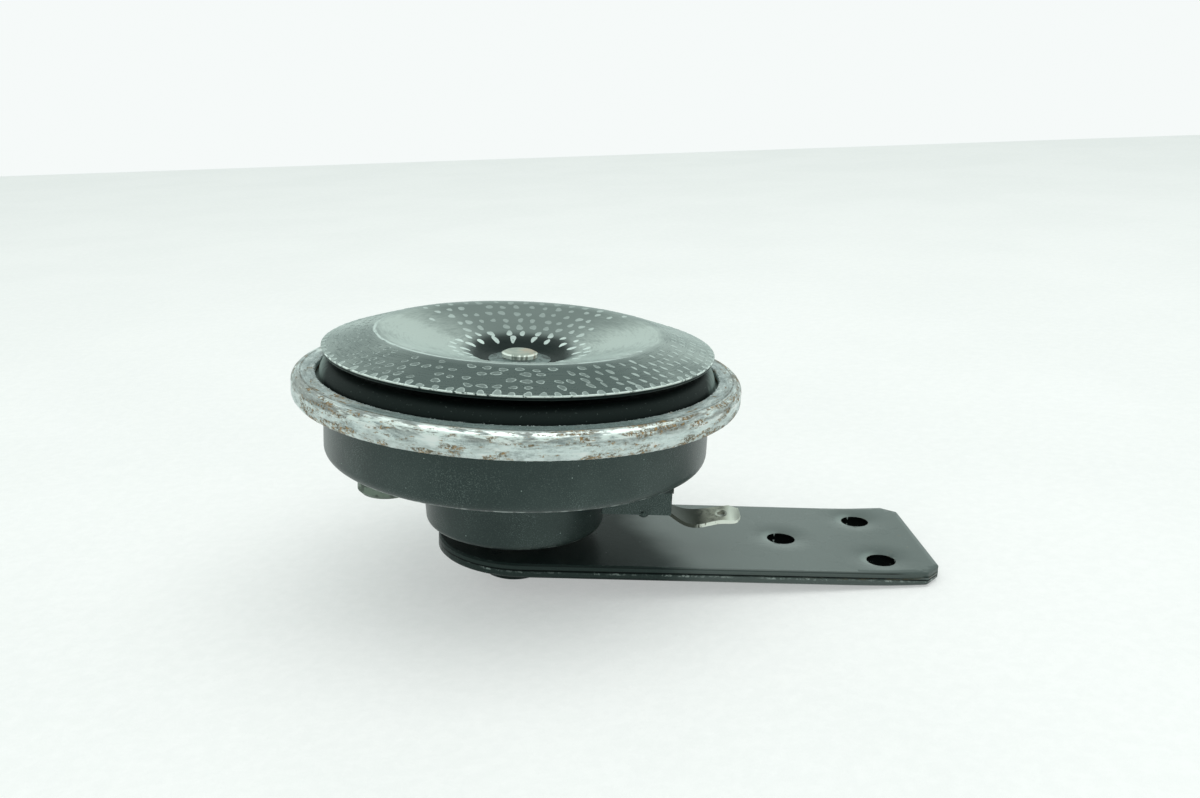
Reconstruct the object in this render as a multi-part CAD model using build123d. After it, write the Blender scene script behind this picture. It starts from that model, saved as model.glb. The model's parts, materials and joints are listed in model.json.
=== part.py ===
from build123d import *
import os
from math import atan2, cos, pi, radians, sin, sqrt, tan

# Electromagnetic disc horn with its two-leaf mounting bracket, in millimetres.
#
# The horn axis is Z. The origin lies on that axis, in the lower face of the nut that
# holds the bracket, so the horn stands on its nut at z = 0 with the resonator disc up.
# The bracket runs out along +X, and the terminal and the breaker adjuster sit on -Y.

# ---------------------------------------------------------------- driving dimensions

# Bracket: two flat spring-steel leaves, one on the other.
leaf_thickness = 1.6
bracket_width = 39.8
bracket_reach = 95.7            # horn axis to the free end
bracket_overhang = 17.5         # horn axis to the rounded end
bracket_end_radius = 19.6
bracket_tip_chamfer = 3.4
bracket_tip_bend = 0.8
bracket_edge_break = 0.35
fixing_hole_radius = 3.3        # clearance for an M6 bolt
fixing_hole_side = 24.0         # side of the triangle of three holes
fixing_tip_margin = 11.9        # free end to the pair of holes

# Centre fixing.
stud_radius = 4.0               # M8
stud_clearance = 0.3
stud_end_chamfer = 0.5
nut_across_flats = 13.0
nut_height = 6.5
nut_chamfer_slope = 30.0
spacer_radius = 8.0
spacer_thickness = 2.2
lock_washer_radius = 7.4
lock_washer_thickness = 0.8
lock_washer_teeth = 10
lock_washer_tooth_depth = 1.5

# Rear case: one deep-drawn pot with a smaller dome for the coil.
case_sheet = 1.2
dome_floor_radius = 20.3
dome_mouth_radius = 22.0
dome_height = 17.2
dome_corner = 1.6
case_radius = 43.2
case_corner = 2.2
case_depth = 14.5               # underside of the pot to underside of its flange
flange_width = 5.2
flange_bend = 0.8

# Clamp ring: a channel rolled round the flange.
ring_band = 1.5                  # thickness of the upright band
ring_mouth_gap = 0.8             # mouth to the diaphragm shoulder
ring_lip_gap = 1.0              # lower lip to the case wall
ring_sheet = 1.3
ring_top_bend = 1.9
ring_low_bend = 1.7
ring_edge_bend = 0.35           # rounding of the sheared edge at the mouth
rim_clearance = 0.1

# Diaphragm and its gaskets.
diaphragm_sheet = 0.5
diaphragm_shoulder_step = 0.75   # shoulder over the case wall
diaphragm_shoulder_height = 5.2  # over the clamped rim
diaphragm_centre_rise = 1.5      # centre over the clamped rim
diaphragm_flat_radius = 11.0
diaphragm_ledge_width = 10.95
diaphragm_ledge_fall = 0.35      # the outer ledge falls this much towards the cone
diaphragm_flat_bend = 5.0
diaphragm_slope_bend = 9.0
diaphragm_shoulder_bend = 3.4
diaphragm_foot_bend = 0.6
diaphragm_bore_clearance = 0.3
lower_gasket_thickness = 0.5
upper_gasket_thickness = 1.0
gasket_width = 3.2

# Resonator disc: a dished sheet, steep round its centre and rolled down at its rim.
disc_sheet = 1.0
disc_radius = 43.5
disc_rim_height = 3.6            # rim over the flat centre
disc_rim_slope = 17.5
disc_roll_width = 11.7           # rim to the corner of the crest
disc_crest_bend = 8.0
disc_flat_radius = 8.2
disc_funnel_radius = 11.5
disc_funnel_depth = 1.8
disc_flat_bend = 3.0
disc_funnel_bend = 6.0

# Centre stack that carries the disc.
rivet_radius = 2.5
rivet_head_radius = 4.05
rivet_head_height = 1.2
rivet_head_bevel = 0.9
rivet_depth = 6.0                # how far the rivet enters the armature
rivet_clearance = 0.05
cone_washer_radius = 7.0
cone_washer_height = 0.8
cone_washer_rim = 0.25
disc_spacer_radius = 7.5
disc_spacer_height = 1.6
backing_washer_radius = 10.0
backing_washer_height = 1.0

# Magnet.
pole_radius = 7.4
pole_clearance = 0.2
air_gap = 1.0
bobbin_wall = 1.0
bobbin_flange = 1.2
bobbin_dome_gap = 0.9
bobbin_top_gap = 0.4              # bobbin top under the pot floor
winding_inset = 0.8              # winding inside the bobbin flanges
yoke_air_gap = 1.5               # yoke mouth to armature
yoke_seat = 2.5                  # yoke over the pot floor, past the dome mouth
yoke_thickness = 2.0
armature_radius = 13.0
armature_face_height = 4.0
armature_neck_radius = 6.0
pusher_flange_radius = 19.0
pusher_flange_height = 2.0
pusher_clearance = 1.5           # flange over the clamp plate of the breaker
armature_shank_radius = 7.0

# Coil leads.
lead_radius = 0.4
lead_hole_radius = 0.65
lead_inset = 1.0                 # leads leave the winding this far inside it
lead_bend = 2.0
lead_end_inset = 1.2             # where a lead lands, in from the end of its tag
terminal_lead_rise = 3.0         # top of each lead over its tag
contact_lead_rise = 2.4
lead_notch_width = 3.0
terminal_lead_angle = -18.0
contact_lead_angle = 150.0

# Terminal: rubber seal pad, moulded block, riveted spade blade.
terminal_angle = -17.68
terminal_inset = 1.33            # rivet inside the middle of the pot floor
terminal_width = 14.0
terminal_tuck = 3.0              # block beside the dome, inside its mouth radius
terminal_end_margin = 4.65       # rivet to the outer end of the block
block_height = 5.2
block_edge = 0.4
seal_height = 4.1
seal_margin = 0.2
dome_gap = 1.2
spade_width = 6.3
spade_sheet = 0.8
spade_foot_margin = 4.8          # rivet to the inner end of the blade
spade_bend_inset = 2.0           # the blade leaves the block this far inside its end
spade_hole_run = 14.2            # bend to hole
spade_hole_radius = 0.9
spade_far_chamfer = 1.9
spade_near_chamfer = 0.7
spade_dip = [                    # from the bend out: run, drop at the near edge, drop at the far edge, slope
    (0.0, 0.0, 0.0, 0.0),
    (1.3, 0.3, 0.3, 20.0),
    (3.6, 1.7, 1.3, 30.0),
    (6.6, 3.3, 2.1, 8.0),
    (10.4, 3.1, 1.95, 8.0),
    (14.3, 2.3, 1.3, 12.0),
    (18.2, 1.5, 0.6, 16.0),
]
terminal_rivet_radius = 1.6
terminal_rivet_head_radius = 2.7
terminal_rivet_head = 1.0
terminal_rivet_chamfer = 0.5
inner_washer_radius = 4.6
tag_clearance = 0.4              # solder tag over the yoke
seal_spigot_radius = 3.2
tag_sheet = 0.6
tag_width = 5.2
tag_eye_margin = 0.6
tag_reach = 5.0

# Breaker adjuster.
adjuster_angle = 197.8
adjuster_inset = 2.51            # screw inside the middle of the pot floor
bush_radius = 6.2
bush_height = 8.0
bush_chamfer = 0.9
bush_spigot_radius = 4.2
bush_rivet_radius = 5.0
bush_rivet_height = 0.8
adjuster_screw_radius = 2.5
adjuster_recess = 1.6
adjuster_slot_width = 1.0
adjuster_slot_depth = 1.2
adjuster_point = 1.0

# Breaker: a clamped stack of two contact arms beside the magnet.
breaker_width = 8.0
stack_start_y = 8.5
stack_length = 8.4
breaker_base_height = 2.4
lower_insulator_thickness = 1.0
moving_spring_sheet = 0.4
moving_spring_width = 7.0
contact_radius = 2.2
contact_height = 0.95
contact_offset = 6.2             # adjusting screw to the contacts
fixed_arm_sheet = 1.2
fixed_arm_margin = 3.8           # arm past the adjusting screw
moving_spring_margin = 2.8       # spring past the contacts
clamp_plate_sheet = 0.8
stack_screw_radius = 1.0        # M2
stack_screw_head_radius = 1.9
stack_screw_inset = 2.0
stack_screw_head = 1.2
stack_screw_clearance = 0.15
tongue_y = -0.5
tongue_width = 4.0
tongue_overhang = 2.0            # tongue past the peg
peg_inset = 1.6                  # peg inside the pusher flange
peg_radius = 1.5
peg_gap = 0.3
spring_tag_offset = 4.3          # start of the stack to the tag
spring_tag_width = 3.2
spring_tag_reach = 3.6

# ---------------------------------------------------------------- radii and places that follow

case_flange_radius = case_radius + flange_width
ring_radius = case_flange_radius + rim_clearance + ring_band
diaphragm_shoulder_radius = case_radius + diaphragm_shoulder_step
diaphragm_slope_radius = diaphragm_shoulder_radius - diaphragm_ledge_width
ring_mouth_radius = diaphragm_shoulder_radius + ring_mouth_gap
ring_lip_radius = case_radius + ring_lip_gap
disc_crest_corner = disc_radius - disc_roll_width

bobbin_radius = dome_floor_radius - case_sheet - bobbin_dome_gap
winding_radius = bobbin_radius - winding_inset
lead_circle = winding_radius - lead_inset
yoke_mouth_radius = armature_radius + yoke_air_gap
yoke_radius = dome_mouth_radius + yoke_seat

pot_middle = (dome_mouth_radius + case_radius) / 2
terminal_rivet_x = (pot_middle - terminal_inset) * cos(radians(terminal_angle))
terminal_centre_y = (pot_middle - terminal_inset) * sin(radians(terminal_angle))
terminal_inner_x = dome_mouth_radius - terminal_tuck
terminal_outer_x = terminal_rivet_x + terminal_end_margin
spade_start_x = terminal_rivet_x - spade_foot_margin
spade_bend_x = terminal_outer_x - spade_bend_inset
spade_hole_x = spade_bend_x + spade_hole_run

adjuster_x = (pot_middle - adjuster_inset) * cos(radians(adjuster_angle))
adjuster_y = (pot_middle - adjuster_inset) * sin(radians(adjuster_angle))
contact_y = adjuster_y + contact_offset
fixed_arm_end_y = adjuster_y - fixed_arm_margin
moving_spring_end_y = contact_y - moving_spring_margin
stack_end_y = stack_start_y + stack_length
peg_x = -(pusher_flange_radius - peg_inset)
tongue_end_x = peg_x + tongue_overhang
spring_tag_y = stack_start_y + spring_tag_offset

# ---------------------------------------------------------------- heights on the axis

z_bracket = nut_height
z_bracket_top = z_bracket + 2 * leaf_thickness
z_spacer_top = z_bracket_top + spacer_thickness
z_dome = z_spacer_top + lock_washer_thickness
z_floor = z_dome + case_sheet
z_pot = z_dome + dome_height
z_pot_floor = z_pot + case_sheet
z_flange = z_pot + case_depth
z_flange_top = z_flange + case_sheet
z_rim = z_flange_top + lower_gasket_thickness
z_rim_top = z_rim + diaphragm_sheet
z_ring_under = z_rim_top + upper_gasket_thickness
z_ring_top = z_ring_under + ring_sheet
z_ring_low = z_flange - ring_sheet

z_centre = z_rim + diaphragm_centre_rise
z_centre_top = z_centre + diaphragm_sheet
z_backing = z_centre - backing_washer_height
z_disc = z_centre_top + disc_spacer_height
z_disc_top = z_disc + disc_sheet
z_head = z_disc_top + cone_washer_height

z_yoke_top = z_pot_floor + yoke_thickness
z_armature = z_yoke_top
z_pole = z_armature - air_gap
z_bobbin_top = z_pot_floor - bobbin_top_gap

z_block_top = z_pot - seal_height
z_block = z_block_top - block_height
z_spade = z_block - spade_sheet
z_tag = z_yoke_top + tag_clearance

z_insulator = z_pot_floor + breaker_base_height
z_moving = z_insulator + lower_insulator_thickness
z_moving_top = z_moving + moving_spring_sheet
z_fixed = z_moving_top + 2 * contact_height
z_clamp = z_fixed + fixed_arm_sheet
z_stack_top = z_clamp + clamp_plate_sheet
z_pusher = z_stack_top + pusher_clearance

# ---------------------------------------------------------------- shared helpers


def on_side(points):
    """Points (radius, height) as points of the XZ plane."""
    return [Vector(r, 0, z) for r, z in points]


def turned(points, radii):
    """Revolve a closed outline of (radius, height) points with a bend radius at each."""
    outline = FilletPolyline(*on_side(points), radius=radii, close=True)
    return revolve(make_face(outline), Axis.Z)


def turned_plain(points):
    """Revolve a closed outline of (radius, height) points with sharp corners."""
    return revolve(make_face(Polyline(*on_side(points), close=True)), Axis.Z)


def right_of(points, gap):
    """The corner points of a line that runs gap to the right of an open polyline."""
    shifted = []
    for i, (r, z) in enumerate(points):
        before = points[max(i - 1, 0)]
        after = points[min(i + 1, len(points) - 1)]
        into = atan2(z - before[1], r - before[0]) if i else None
        out = atan2(after[1] - z, after[0] - r) if i < len(points) - 1 else into
        into = out if into is None else into
        middle = (into + out) / 2
        reach = gap / cos((out - into) / 2)
        shifted.append((r + reach * sin(middle), z - reach * cos(middle)))
    return shifted


def turned_sheet(points, bends, sheet):
    """Revolve a sheet whose top side follows the points, walked from the axis outwards.

    bends holds the bend radius of each inner corner on the top side. The lower side
    bends with the same centres, so the sheet keeps its thickness round each corner."""
    under = right_of(points, sheet)
    turns = []
    for before, here, after in zip(points, points[1:], points[2:]):
        into = atan2(here[1] - before[1], here[0] - before[0])
        out = atan2(after[1] - here[1], after[0] - here[0])
        turns.append(1 if out > into else -1)
    under_bends = [bend + sheet * turn for bend, turn in zip(bends, turns)]
    top_line = FilletPolyline(*on_side(points), radius=list(bends))
    under_line = FilletPolyline(*on_side(under), radius=under_bends)
    ends = [
        Line(Vector(points[0][0], 0, points[0][1]), Vector(under[0][0], 0, under[0][1])),
        Line(Vector(points[-1][0], 0, points[-1][1]), Vector(under[-1][0], 0, under[-1][1])),
    ]
    face = make_face([*top_line.edges(), *under_line.edges(), *ends])
    return revolve(face, Axis.Z)


def disc(radius, height, x=0.0, y=0.0, z=0.0):
    """A plain round from z up."""
    return Pos(x, y, z) * Cylinder(radius, height, align=(Align.CENTER, Align.CENTER, Align.MIN))


def washer(radius, bore, height, x=0.0, y=0.0, z=0.0):
    """A plain flat washer from z up."""
    return disc(radius, height, x, y, z) - disc(bore, height, x, y, z)


def plate(x_low, x_high, y_low, y_high, z, height):
    """A flat rectangular piece from z up."""
    middle = Pos((x_low + x_high) / 2, (y_low + y_high) / 2, z)
    return middle * Box(x_high - x_low, y_high - y_low, height, align=(Align.CENTER, Align.CENTER, Align.MIN))


def polar(radius, angle):
    """x and y of a point at an angle in degrees from +X."""
    return radius * cos(radians(angle)), radius * sin(radians(angle))


# ---------------------------------------------------------------- bracket and fixing


def fixing_holes():
    """Centres of the three bolt holes, an equilateral triangle pointing at the horn."""
    pair_x = bracket_reach - fixing_tip_margin
    first_x = pair_x - fixing_hole_side * sqrt(3) / 2
    return [(first_x, 0.0), (pair_x, -fixing_hole_side / 2), (pair_x, fixing_hole_side / 2)]


def bracket_leaf(z):
    """One leaf: rounded at the horn, with clipped corners at the free end."""
    half = bracket_width / 2
    clip = bracket_tip_chamfer
    corners = [
        (-bracket_overhang, -half),
        (bracket_reach - clip, -half),
        (bracket_reach, -half + clip),
        (bracket_reach, half - clip),
        (bracket_reach - clip, half),
        (-bracket_overhang, half),
    ]
    bends = [bracket_end_radius, *[bracket_tip_bend] * 4, bracket_end_radius]
    outline = FilletPolyline(*[Vector(x, y, z) for x, y in corners], radius=bends, close=True)
    leaf = extrude(make_face(outline), leaf_thickness)
    leaf -= disc(stud_radius + stud_clearance, leaf_thickness, z=z)
    for x, y in fixing_holes():
        leaf -= disc(fixing_hole_radius, leaf_thickness, x, y, z)
    return leaf


def upper_leaf():
    """The upper leaf, with its outer top edge broken."""
    leaf = bracket_leaf(z_bracket + leaf_thickness)
    top = leaf.faces().sort_by(Axis.Z)[-1]
    return chamfer(top.outer_wire().edges(), bracket_edge_break)


def lower_leaf():
    """The lower leaf, with its outer bottom edge broken."""
    leaf = bracket_leaf(z_bracket)
    base = leaf.faces().sort_by(Axis.Z)[0]
    return chamfer(base.outer_wire().edges(), bracket_edge_break)


def mounting_nut():
    """M8 hexagon nut, chamfered at both ends."""
    across_corners = nut_across_flats / cos(pi / 6)
    hexagon = extrude(RegularPolygon(across_corners / 2, 6), nut_height)
    flat_radius = nut_across_flats / 2
    rise = (across_corners / 2 - flat_radius) * tan(radians(nut_chamfer_slope))
    turned_blank = turned_plain([
        (0, 0),
        (flat_radius, 0),
        (across_corners / 2, rise),
        (across_corners / 2, nut_height - rise),
        (flat_radius, nut_height),
        (0, nut_height),
    ])
    return (hexagon & turned_blank) - disc(stud_radius, nut_height)


def spacer_washer():
    """Thick plain washer that holds the dome clear of the bracket."""
    return washer(spacer_radius, stud_radius + stud_clearance, spacer_thickness, z=z_bracket_top)


def tooth_lock_washer():
    """Thin washer with teeth round its rim."""
    body = washer(lock_washer_radius, stud_radius + stud_clearance, lock_washer_thickness, z=z_spacer_top)
    pitch = 360 / lock_washer_teeth
    notch_width = pi * lock_washer_radius / lock_washer_teeth
    for i in range(lock_washer_teeth):
        notch = plate(lock_washer_radius - lock_washer_tooth_depth, lock_washer_radius + 1,
                      -notch_width / 2, notch_width / 2, z_spacer_top, lock_washer_thickness)
        body -= Rot(0, 0, i * pitch) * notch
    return body


# ---------------------------------------------------------------- case, ring, diaphragm


def rear_case():
    """The drawn pot: dome floor, dome wall, annular floor, outer wall and flange."""
    hole = stud_radius + stud_clearance
    inner = case_radius - case_sheet
    taper = (dome_mouth_radius - dome_floor_radius) / dome_height
    inside_low = dome_floor_radius - case_sheet + taper * case_sheet
    inside_high = dome_mouth_radius - case_sheet + taper * case_sheet
    bend = flange_bend
    points = [
        (hole, z_dome), (dome_floor_radius, z_dome), (dome_mouth_radius, z_pot), (case_radius, z_pot),
        (case_radius, z_flange), (case_flange_radius, z_flange), (case_flange_radius, z_flange_top),
        (inner, z_flange_top), (inner, z_pot_floor), (inside_high, z_pot_floor), (inside_low, z_floor),
        (hole, z_floor),
    ]
    thin = case_sheet
    radii = [0, dome_corner, bend, case_corner, bend, 0, 0, bend + thin, case_corner - thin,
             bend + thin, dome_corner - thin, 0]
    case = turned(points, radii)
    case -= disc(bush_spigot_radius, case_sheet, adjuster_x, adjuster_y, z_pot)
    case -= disc(seal_spigot_radius, case_sheet, terminal_rivet_x, terminal_centre_y, z_pot)
    return case


def clamp_ring():
    """Channel-section ring: flat top, rounded band, lip rolled under the case flange."""
    bore = case_flange_radius + rim_clearance
    points = [
        (ring_mouth_radius, z_ring_under),
        (bore, z_ring_under),
        (bore, z_flange),
        (ring_lip_radius, z_flange),
        (ring_lip_radius, z_ring_low),
        (ring_radius, z_ring_low),
        (ring_radius, z_ring_top),
        (ring_mouth_radius, z_ring_top),
    ]
    radii = [ring_edge_bend, 0, 0, 0, 0, ring_low_bend, ring_top_bend, ring_edge_bend]
    return turned(points, radii)


def diaphragm():
    """Pressed steel sheet: clamped rim, upright shoulder, shallow cone, flat centre."""
    shoulder = diaphragm_shoulder_radius
    z_ledge = z_rim_top + diaphragm_shoulder_height
    top = [
        (rivet_radius + diaphragm_bore_clearance, z_centre_top),
        (diaphragm_flat_radius, z_centre_top),
        (diaphragm_slope_radius, z_ledge - diaphragm_ledge_fall),
        (shoulder, z_ledge),
        (shoulder, z_rim_top),
        (case_flange_radius, z_rim_top),
    ]
    bends = [diaphragm_flat_bend, diaphragm_slope_bend, diaphragm_shoulder_bend, diaphragm_foot_bend]
    return turned_sheet(top, bends, diaphragm_sheet)


def gasket(z, height):
    """Flat ring under the clamped rim."""
    return washer(case_flange_radius, case_flange_radius - gasket_width, height, z=z)


# ---------------------------------------------------------------- vibrating stack


def resonator_disc():
    """Dished disc: flat centre, steep funnel, long shallow cone, crest, rolled rim."""
    rise = (disc_radius - disc_crest_corner) * tan(radians(disc_rim_slope))
    z_rim_edge = z_disc_top + disc_rim_height
    top = [
        (rivet_radius + rivet_clearance, z_disc_top),
        (disc_flat_radius, z_disc_top),
        (disc_funnel_radius, z_disc_top + disc_funnel_depth),
        (disc_crest_corner, z_rim_edge + rise),
        (disc_radius, z_rim_edge),
    ]
    return turned_sheet(top, [disc_flat_bend, disc_funnel_bend, disc_crest_bend], disc_sheet)


def cone_washer():
    """Conical washer that spreads the rivet head's load on the disc."""
    bore = rivet_radius + rivet_clearance
    return turned_plain([
        (bore, z_disc_top),
        (cone_washer_radius, z_disc_top),
        (cone_washer_radius, z_disc_top + cone_washer_rim),
        (rivet_head_radius, z_head),
        (bore, z_head),
    ])


def centre_rivet():
    """Headed rivet through disc, spacer, diaphragm and backing washer."""
    z_end = z_backing - rivet_depth
    top = z_head + rivet_head_height
    return turned_plain([
        (0, z_end),
        (rivet_radius, z_end),
        (rivet_radius, z_head),
        (rivet_head_radius, z_head),
        (rivet_head_radius, top - rivet_head_bevel / 2),
        (rivet_head_radius - rivet_head_bevel, top),
        (0, top),
    ])


def armature():
    """Turned steel armature: pole face, neck, pusher flange, shank."""
    body = turned_plain([
        (0, z_armature),
        (armature_radius, z_armature),
        (armature_radius, z_armature + armature_face_height),
        (armature_neck_radius, z_armature + armature_face_height),
        (armature_neck_radius, z_pusher),
        (pusher_flange_radius, z_pusher),
        (pusher_flange_radius, z_pusher + pusher_flange_height),
        (armature_shank_radius, z_pusher + pusher_flange_height),
        (armature_shank_radius, z_backing),
        (0, z_backing),
    ])
    return body - disc(rivet_radius, rivet_depth, z=z_backing - rivet_depth)


def disc_spacer():
    """Washer between diaphragm and disc."""
    bore = rivet_radius + rivet_clearance
    return washer(disc_spacer_radius, bore, disc_spacer_height, z=z_centre_top)


def backing_washer():
    """Washer between armature and diaphragm."""
    bore = rivet_radius + rivet_clearance
    return washer(backing_washer_radius, bore, backing_washer_height, z=z_backing)


# ---------------------------------------------------------------- magnet


def pole_core():
    """Pole piece turned in one with the threaded stud that holds the whole horn."""
    return turned_plain([
        (0, 0),
        (stud_radius - stud_end_chamfer, 0),
        (stud_radius, stud_end_chamfer),
        (stud_radius, z_floor),
        (pole_radius, z_floor),
        (pole_radius, z_pole),
        (0, z_pole),
    ])


def coil_bobbin():
    """Moulded spool round the pole, with two holes for the leads."""
    bore = pole_radius + pole_clearance
    tube = bore + bobbin_wall
    spool = turned_plain([
        (bore, z_floor),
        (bobbin_radius, z_floor),
        (bobbin_radius, z_floor + bobbin_flange),
        (tube, z_floor + bobbin_flange),
        (tube, z_bobbin_top - bobbin_flange),
        (bobbin_radius, z_bobbin_top - bobbin_flange),
        (bobbin_radius, z_bobbin_top),
        (bore, z_bobbin_top),
    ])
    for angle in (terminal_lead_angle, contact_lead_angle):
        x, y = polar(lead_circle, angle)
        spool -= disc(lead_hole_radius, bobbin_flange, x, y, z_bobbin_top - bobbin_flange)
    return spool


def coil_winding():
    """The wound copper, as one closed ring."""
    bore = pole_radius + pole_clearance + bobbin_wall
    low = z_floor + bobbin_flange
    return washer(winding_radius, bore, z_bobbin_top - bobbin_flange - low, z=low)


def yoke_plate():
    """Thick plate that closes the magnet round the armature, notched for the leads."""
    yoke = washer(yoke_radius, yoke_mouth_radius, yoke_thickness, z=z_pot_floor)
    notch_end = lead_circle + lead_notch_width / 2
    for angle in (terminal_lead_angle, contact_lead_angle):
        notch = plate(yoke_mouth_radius - 1, notch_end, -lead_notch_width / 2, lead_notch_width / 2,
                      z_pot_floor, yoke_thickness)
        yoke -= Rot(0, 0, angle) * notch
    return yoke


def lead(start, top, end):
    """A stiff enamelled wire: up from start, across at height top, down to end."""
    path = FilletPolyline(
        Vector(*start), Vector(start[0], start[1], top), Vector(end[0], end[1], top), Vector(*end),
        radius=lead_bend,
    )
    section = Plane(origin=Vector(*start), z_dir=(0, 0, 1)) * Circle(lead_radius)
    return sweep(section, path)


def terminal_lead():
    """Wire from the winding to the terminal's solder tag."""
    x, y = polar(lead_circle, terminal_lead_angle)
    z_tag_top = z_tag + tag_sheet
    end = (terminal_rivet_x - tag_reach + lead_end_inset, terminal_centre_y, z_tag_top)
    return lead((x, y, z_bobbin_top - bobbin_flange), z_tag_top + terminal_lead_rise, end)


def contact_lead():
    """Wire from the winding to the tag of the moving contact spring."""
    x, y = polar(lead_circle, contact_lead_angle)
    tag_end = adjuster_x + moving_spring_width / 2 + spring_tag_reach
    end = (tag_end - lead_end_inset, spring_tag_y, z_moving_top)
    return lead((x, y, z_bobbin_top - bobbin_flange), z_moving_top + contact_lead_rise, end)


# ---------------------------------------------------------------- terminal


def terminal_pad(z, height, margin):
    """Rectangular pad whose inner side is hollowed to follow the dome."""
    half = terminal_width / 2 + margin
    pad = plate(terminal_inner_x - margin, terminal_outer_x + margin, terminal_centre_y - half,
                terminal_centre_y + half, z, height)
    return pad - disc(dome_mouth_radius + dome_gap, height, z=z)


def terminal_seal():
    """Rubber pad between block and case, with a spigot through the case hole."""
    pad = terminal_pad(z_block_top, seal_height, seal_margin)
    pad += disc(seal_spigot_radius, case_sheet, terminal_rivet_x, terminal_centre_y, z_pot)
    bore = terminal_rivet_radius + rivet_clearance
    return pad - disc(bore, seal_height + case_sheet, terminal_rivet_x, terminal_centre_y, z_block_top)


def terminal_block():
    """Moulded insulating block under the seal pad."""
    block = terminal_pad(z_block, block_height, 0)
    block = fillet(block.edges().filter_by(Axis.Z), block_edge)
    bore = terminal_rivet_radius + rivet_clearance
    return block - disc(bore, block_height, terminal_rivet_x, terminal_centre_y, z_block)


def spade_section(x, near, far, slope):
    """Upright slice across the blade, with the height of its top at each edge."""
    drop = spade_sheet / cos(radians(slope))
    y_near = terminal_centre_y - spade_width / 2
    y_far = terminal_centre_y + spade_width / 2
    corners = [(y_near, near - drop), (y_far, far - drop), (y_far, far), (y_near, near)]
    return make_face(Polyline(*[Vector(x, y, z) for y, z in corners], close=True))


def spade_terminal():
    """Blade riveted under the block, dipped and slightly twisted outside it."""
    blade = loft([
        spade_section(spade_bend_x + run, z_block - near, z_block - far, slope)
        for run, near, far, slope in spade_dip
    ])
    spade_tip_x = spade_bend_x + spade_dip[-1][0]
    foot = plate(spade_start_x, spade_bend_x, terminal_centre_y - spade_width / 2,
                 terminal_centre_y + spade_width / 2, z_spade, spade_sheet)
    y_near = terminal_centre_y - spade_width / 2
    y_far = terminal_centre_y + spade_width / 2
    outline = Polyline(
        Vector(spade_start_x, y_near, 0),
        Vector(spade_tip_x - spade_near_chamfer, y_near, 0),
        Vector(spade_tip_x, y_near + spade_near_chamfer, 0),
        Vector(spade_tip_x, y_far - spade_far_chamfer, 0),
        Vector(spade_tip_x - spade_far_chamfer, y_far, 0),
        Vector(spade_start_x, y_far, 0),
        close=True,
    )
    terminal = (foot + blade) & extrude(make_face(outline), z_pot)
    terminal -= disc(spade_hole_radius, z_pot, spade_hole_x, terminal_centre_y)
    bore = terminal_rivet_radius + rivet_clearance
    return terminal - disc(bore, spade_sheet, terminal_rivet_x, terminal_centre_y, z_spade)


def terminal_rivet():
    """Rivet through blade, block, seal, inner washer and tag."""
    x, y = terminal_rivet_x, terminal_centre_y
    z_top = z_tag + tag_sheet
    shank = disc(terminal_rivet_radius, z_top - z_spade, x, y, z_spade)
    low_head = disc(terminal_rivet_head_radius, terminal_rivet_head, x, y, z_spade - terminal_rivet_head)
    low_head = chamfer(low_head.edges().group_by(Axis.Z)[0], terminal_rivet_chamfer)
    high_head = disc(terminal_rivet_head_radius, terminal_rivet_head, x, y, z_top)
    return shank + low_head + high_head


def terminal_inner_washer():
    """Insulating washer inside the case."""
    bore = terminal_rivet_radius + rivet_clearance
    height = z_tag - z_pot_floor
    return washer(inner_washer_radius, bore, height, terminal_rivet_x, terminal_centre_y, z_pot_floor)


def solder_tag():
    """Brass tag under the rivet's inner head."""
    x, y = terminal_rivet_x, terminal_centre_y
    tag = disc(tag_width / 2 + tag_eye_margin, tag_sheet, x, y, z_tag)
    tag += plate(x - tag_reach, x, y - tag_width / 4, y + tag_width / 4, z_tag, tag_sheet)
    return tag - disc(terminal_rivet_radius + rivet_clearance, tag_sheet, x, y, z_tag)


# ---------------------------------------------------------------- adjuster and breaker


def adjuster_bush():
    """Turned bush riveted into the pot floor, threaded for the adjusting screw."""
    low = z_pot - bush_height
    outline = turned_plain([
        (adjuster_screw_radius, low),
        (bush_radius - bush_chamfer, low),
        (bush_radius, low + bush_chamfer),
        (bush_radius, z_pot),
        (bush_spigot_radius, z_pot),
        (bush_spigot_radius, z_pot_floor),
        (bush_rivet_radius, z_pot_floor),
        (bush_rivet_radius, z_pot_floor + bush_rivet_height),
        (adjuster_screw_radius, z_pot_floor + bush_rivet_height),
    ])
    return Pos(adjuster_x, adjuster_y, 0) * outline


def adjuster_screw():
    """Slotted screw that bears on the fixed contact arm."""
    low = z_pot - bush_height + adjuster_recess
    screw = turned_plain([
        (0, low),
        (adjuster_screw_radius, low),
        (adjuster_screw_radius, z_fixed - adjuster_point),
        (adjuster_screw_radius - adjuster_point, z_fixed),
        (0, z_fixed),
    ])
    reach = adjuster_screw_radius + 1
    screw -= plate(-reach, reach, -adjuster_slot_width / 2, adjuster_slot_width / 2, low, adjuster_slot_depth)
    return Pos(adjuster_x, adjuster_y, 0) * screw


def stack_screw_places():
    """The two screws through the breaker stack."""
    return [(adjuster_x, stack_start_y + stack_screw_inset), (adjuster_x, stack_end_y - stack_screw_inset)]


def stack_piece(z, height, y_low=stack_start_y, width=breaker_width):
    """One layer of the stack, drilled for both screws."""
    layer = plate(adjuster_x - width / 2, adjuster_x + width / 2, y_low, stack_end_y, z, height)
    for x, y in stack_screw_places():
        layer -= disc(stack_screw_radius + stack_screw_clearance, height, x, y, z)
    return layer


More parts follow.
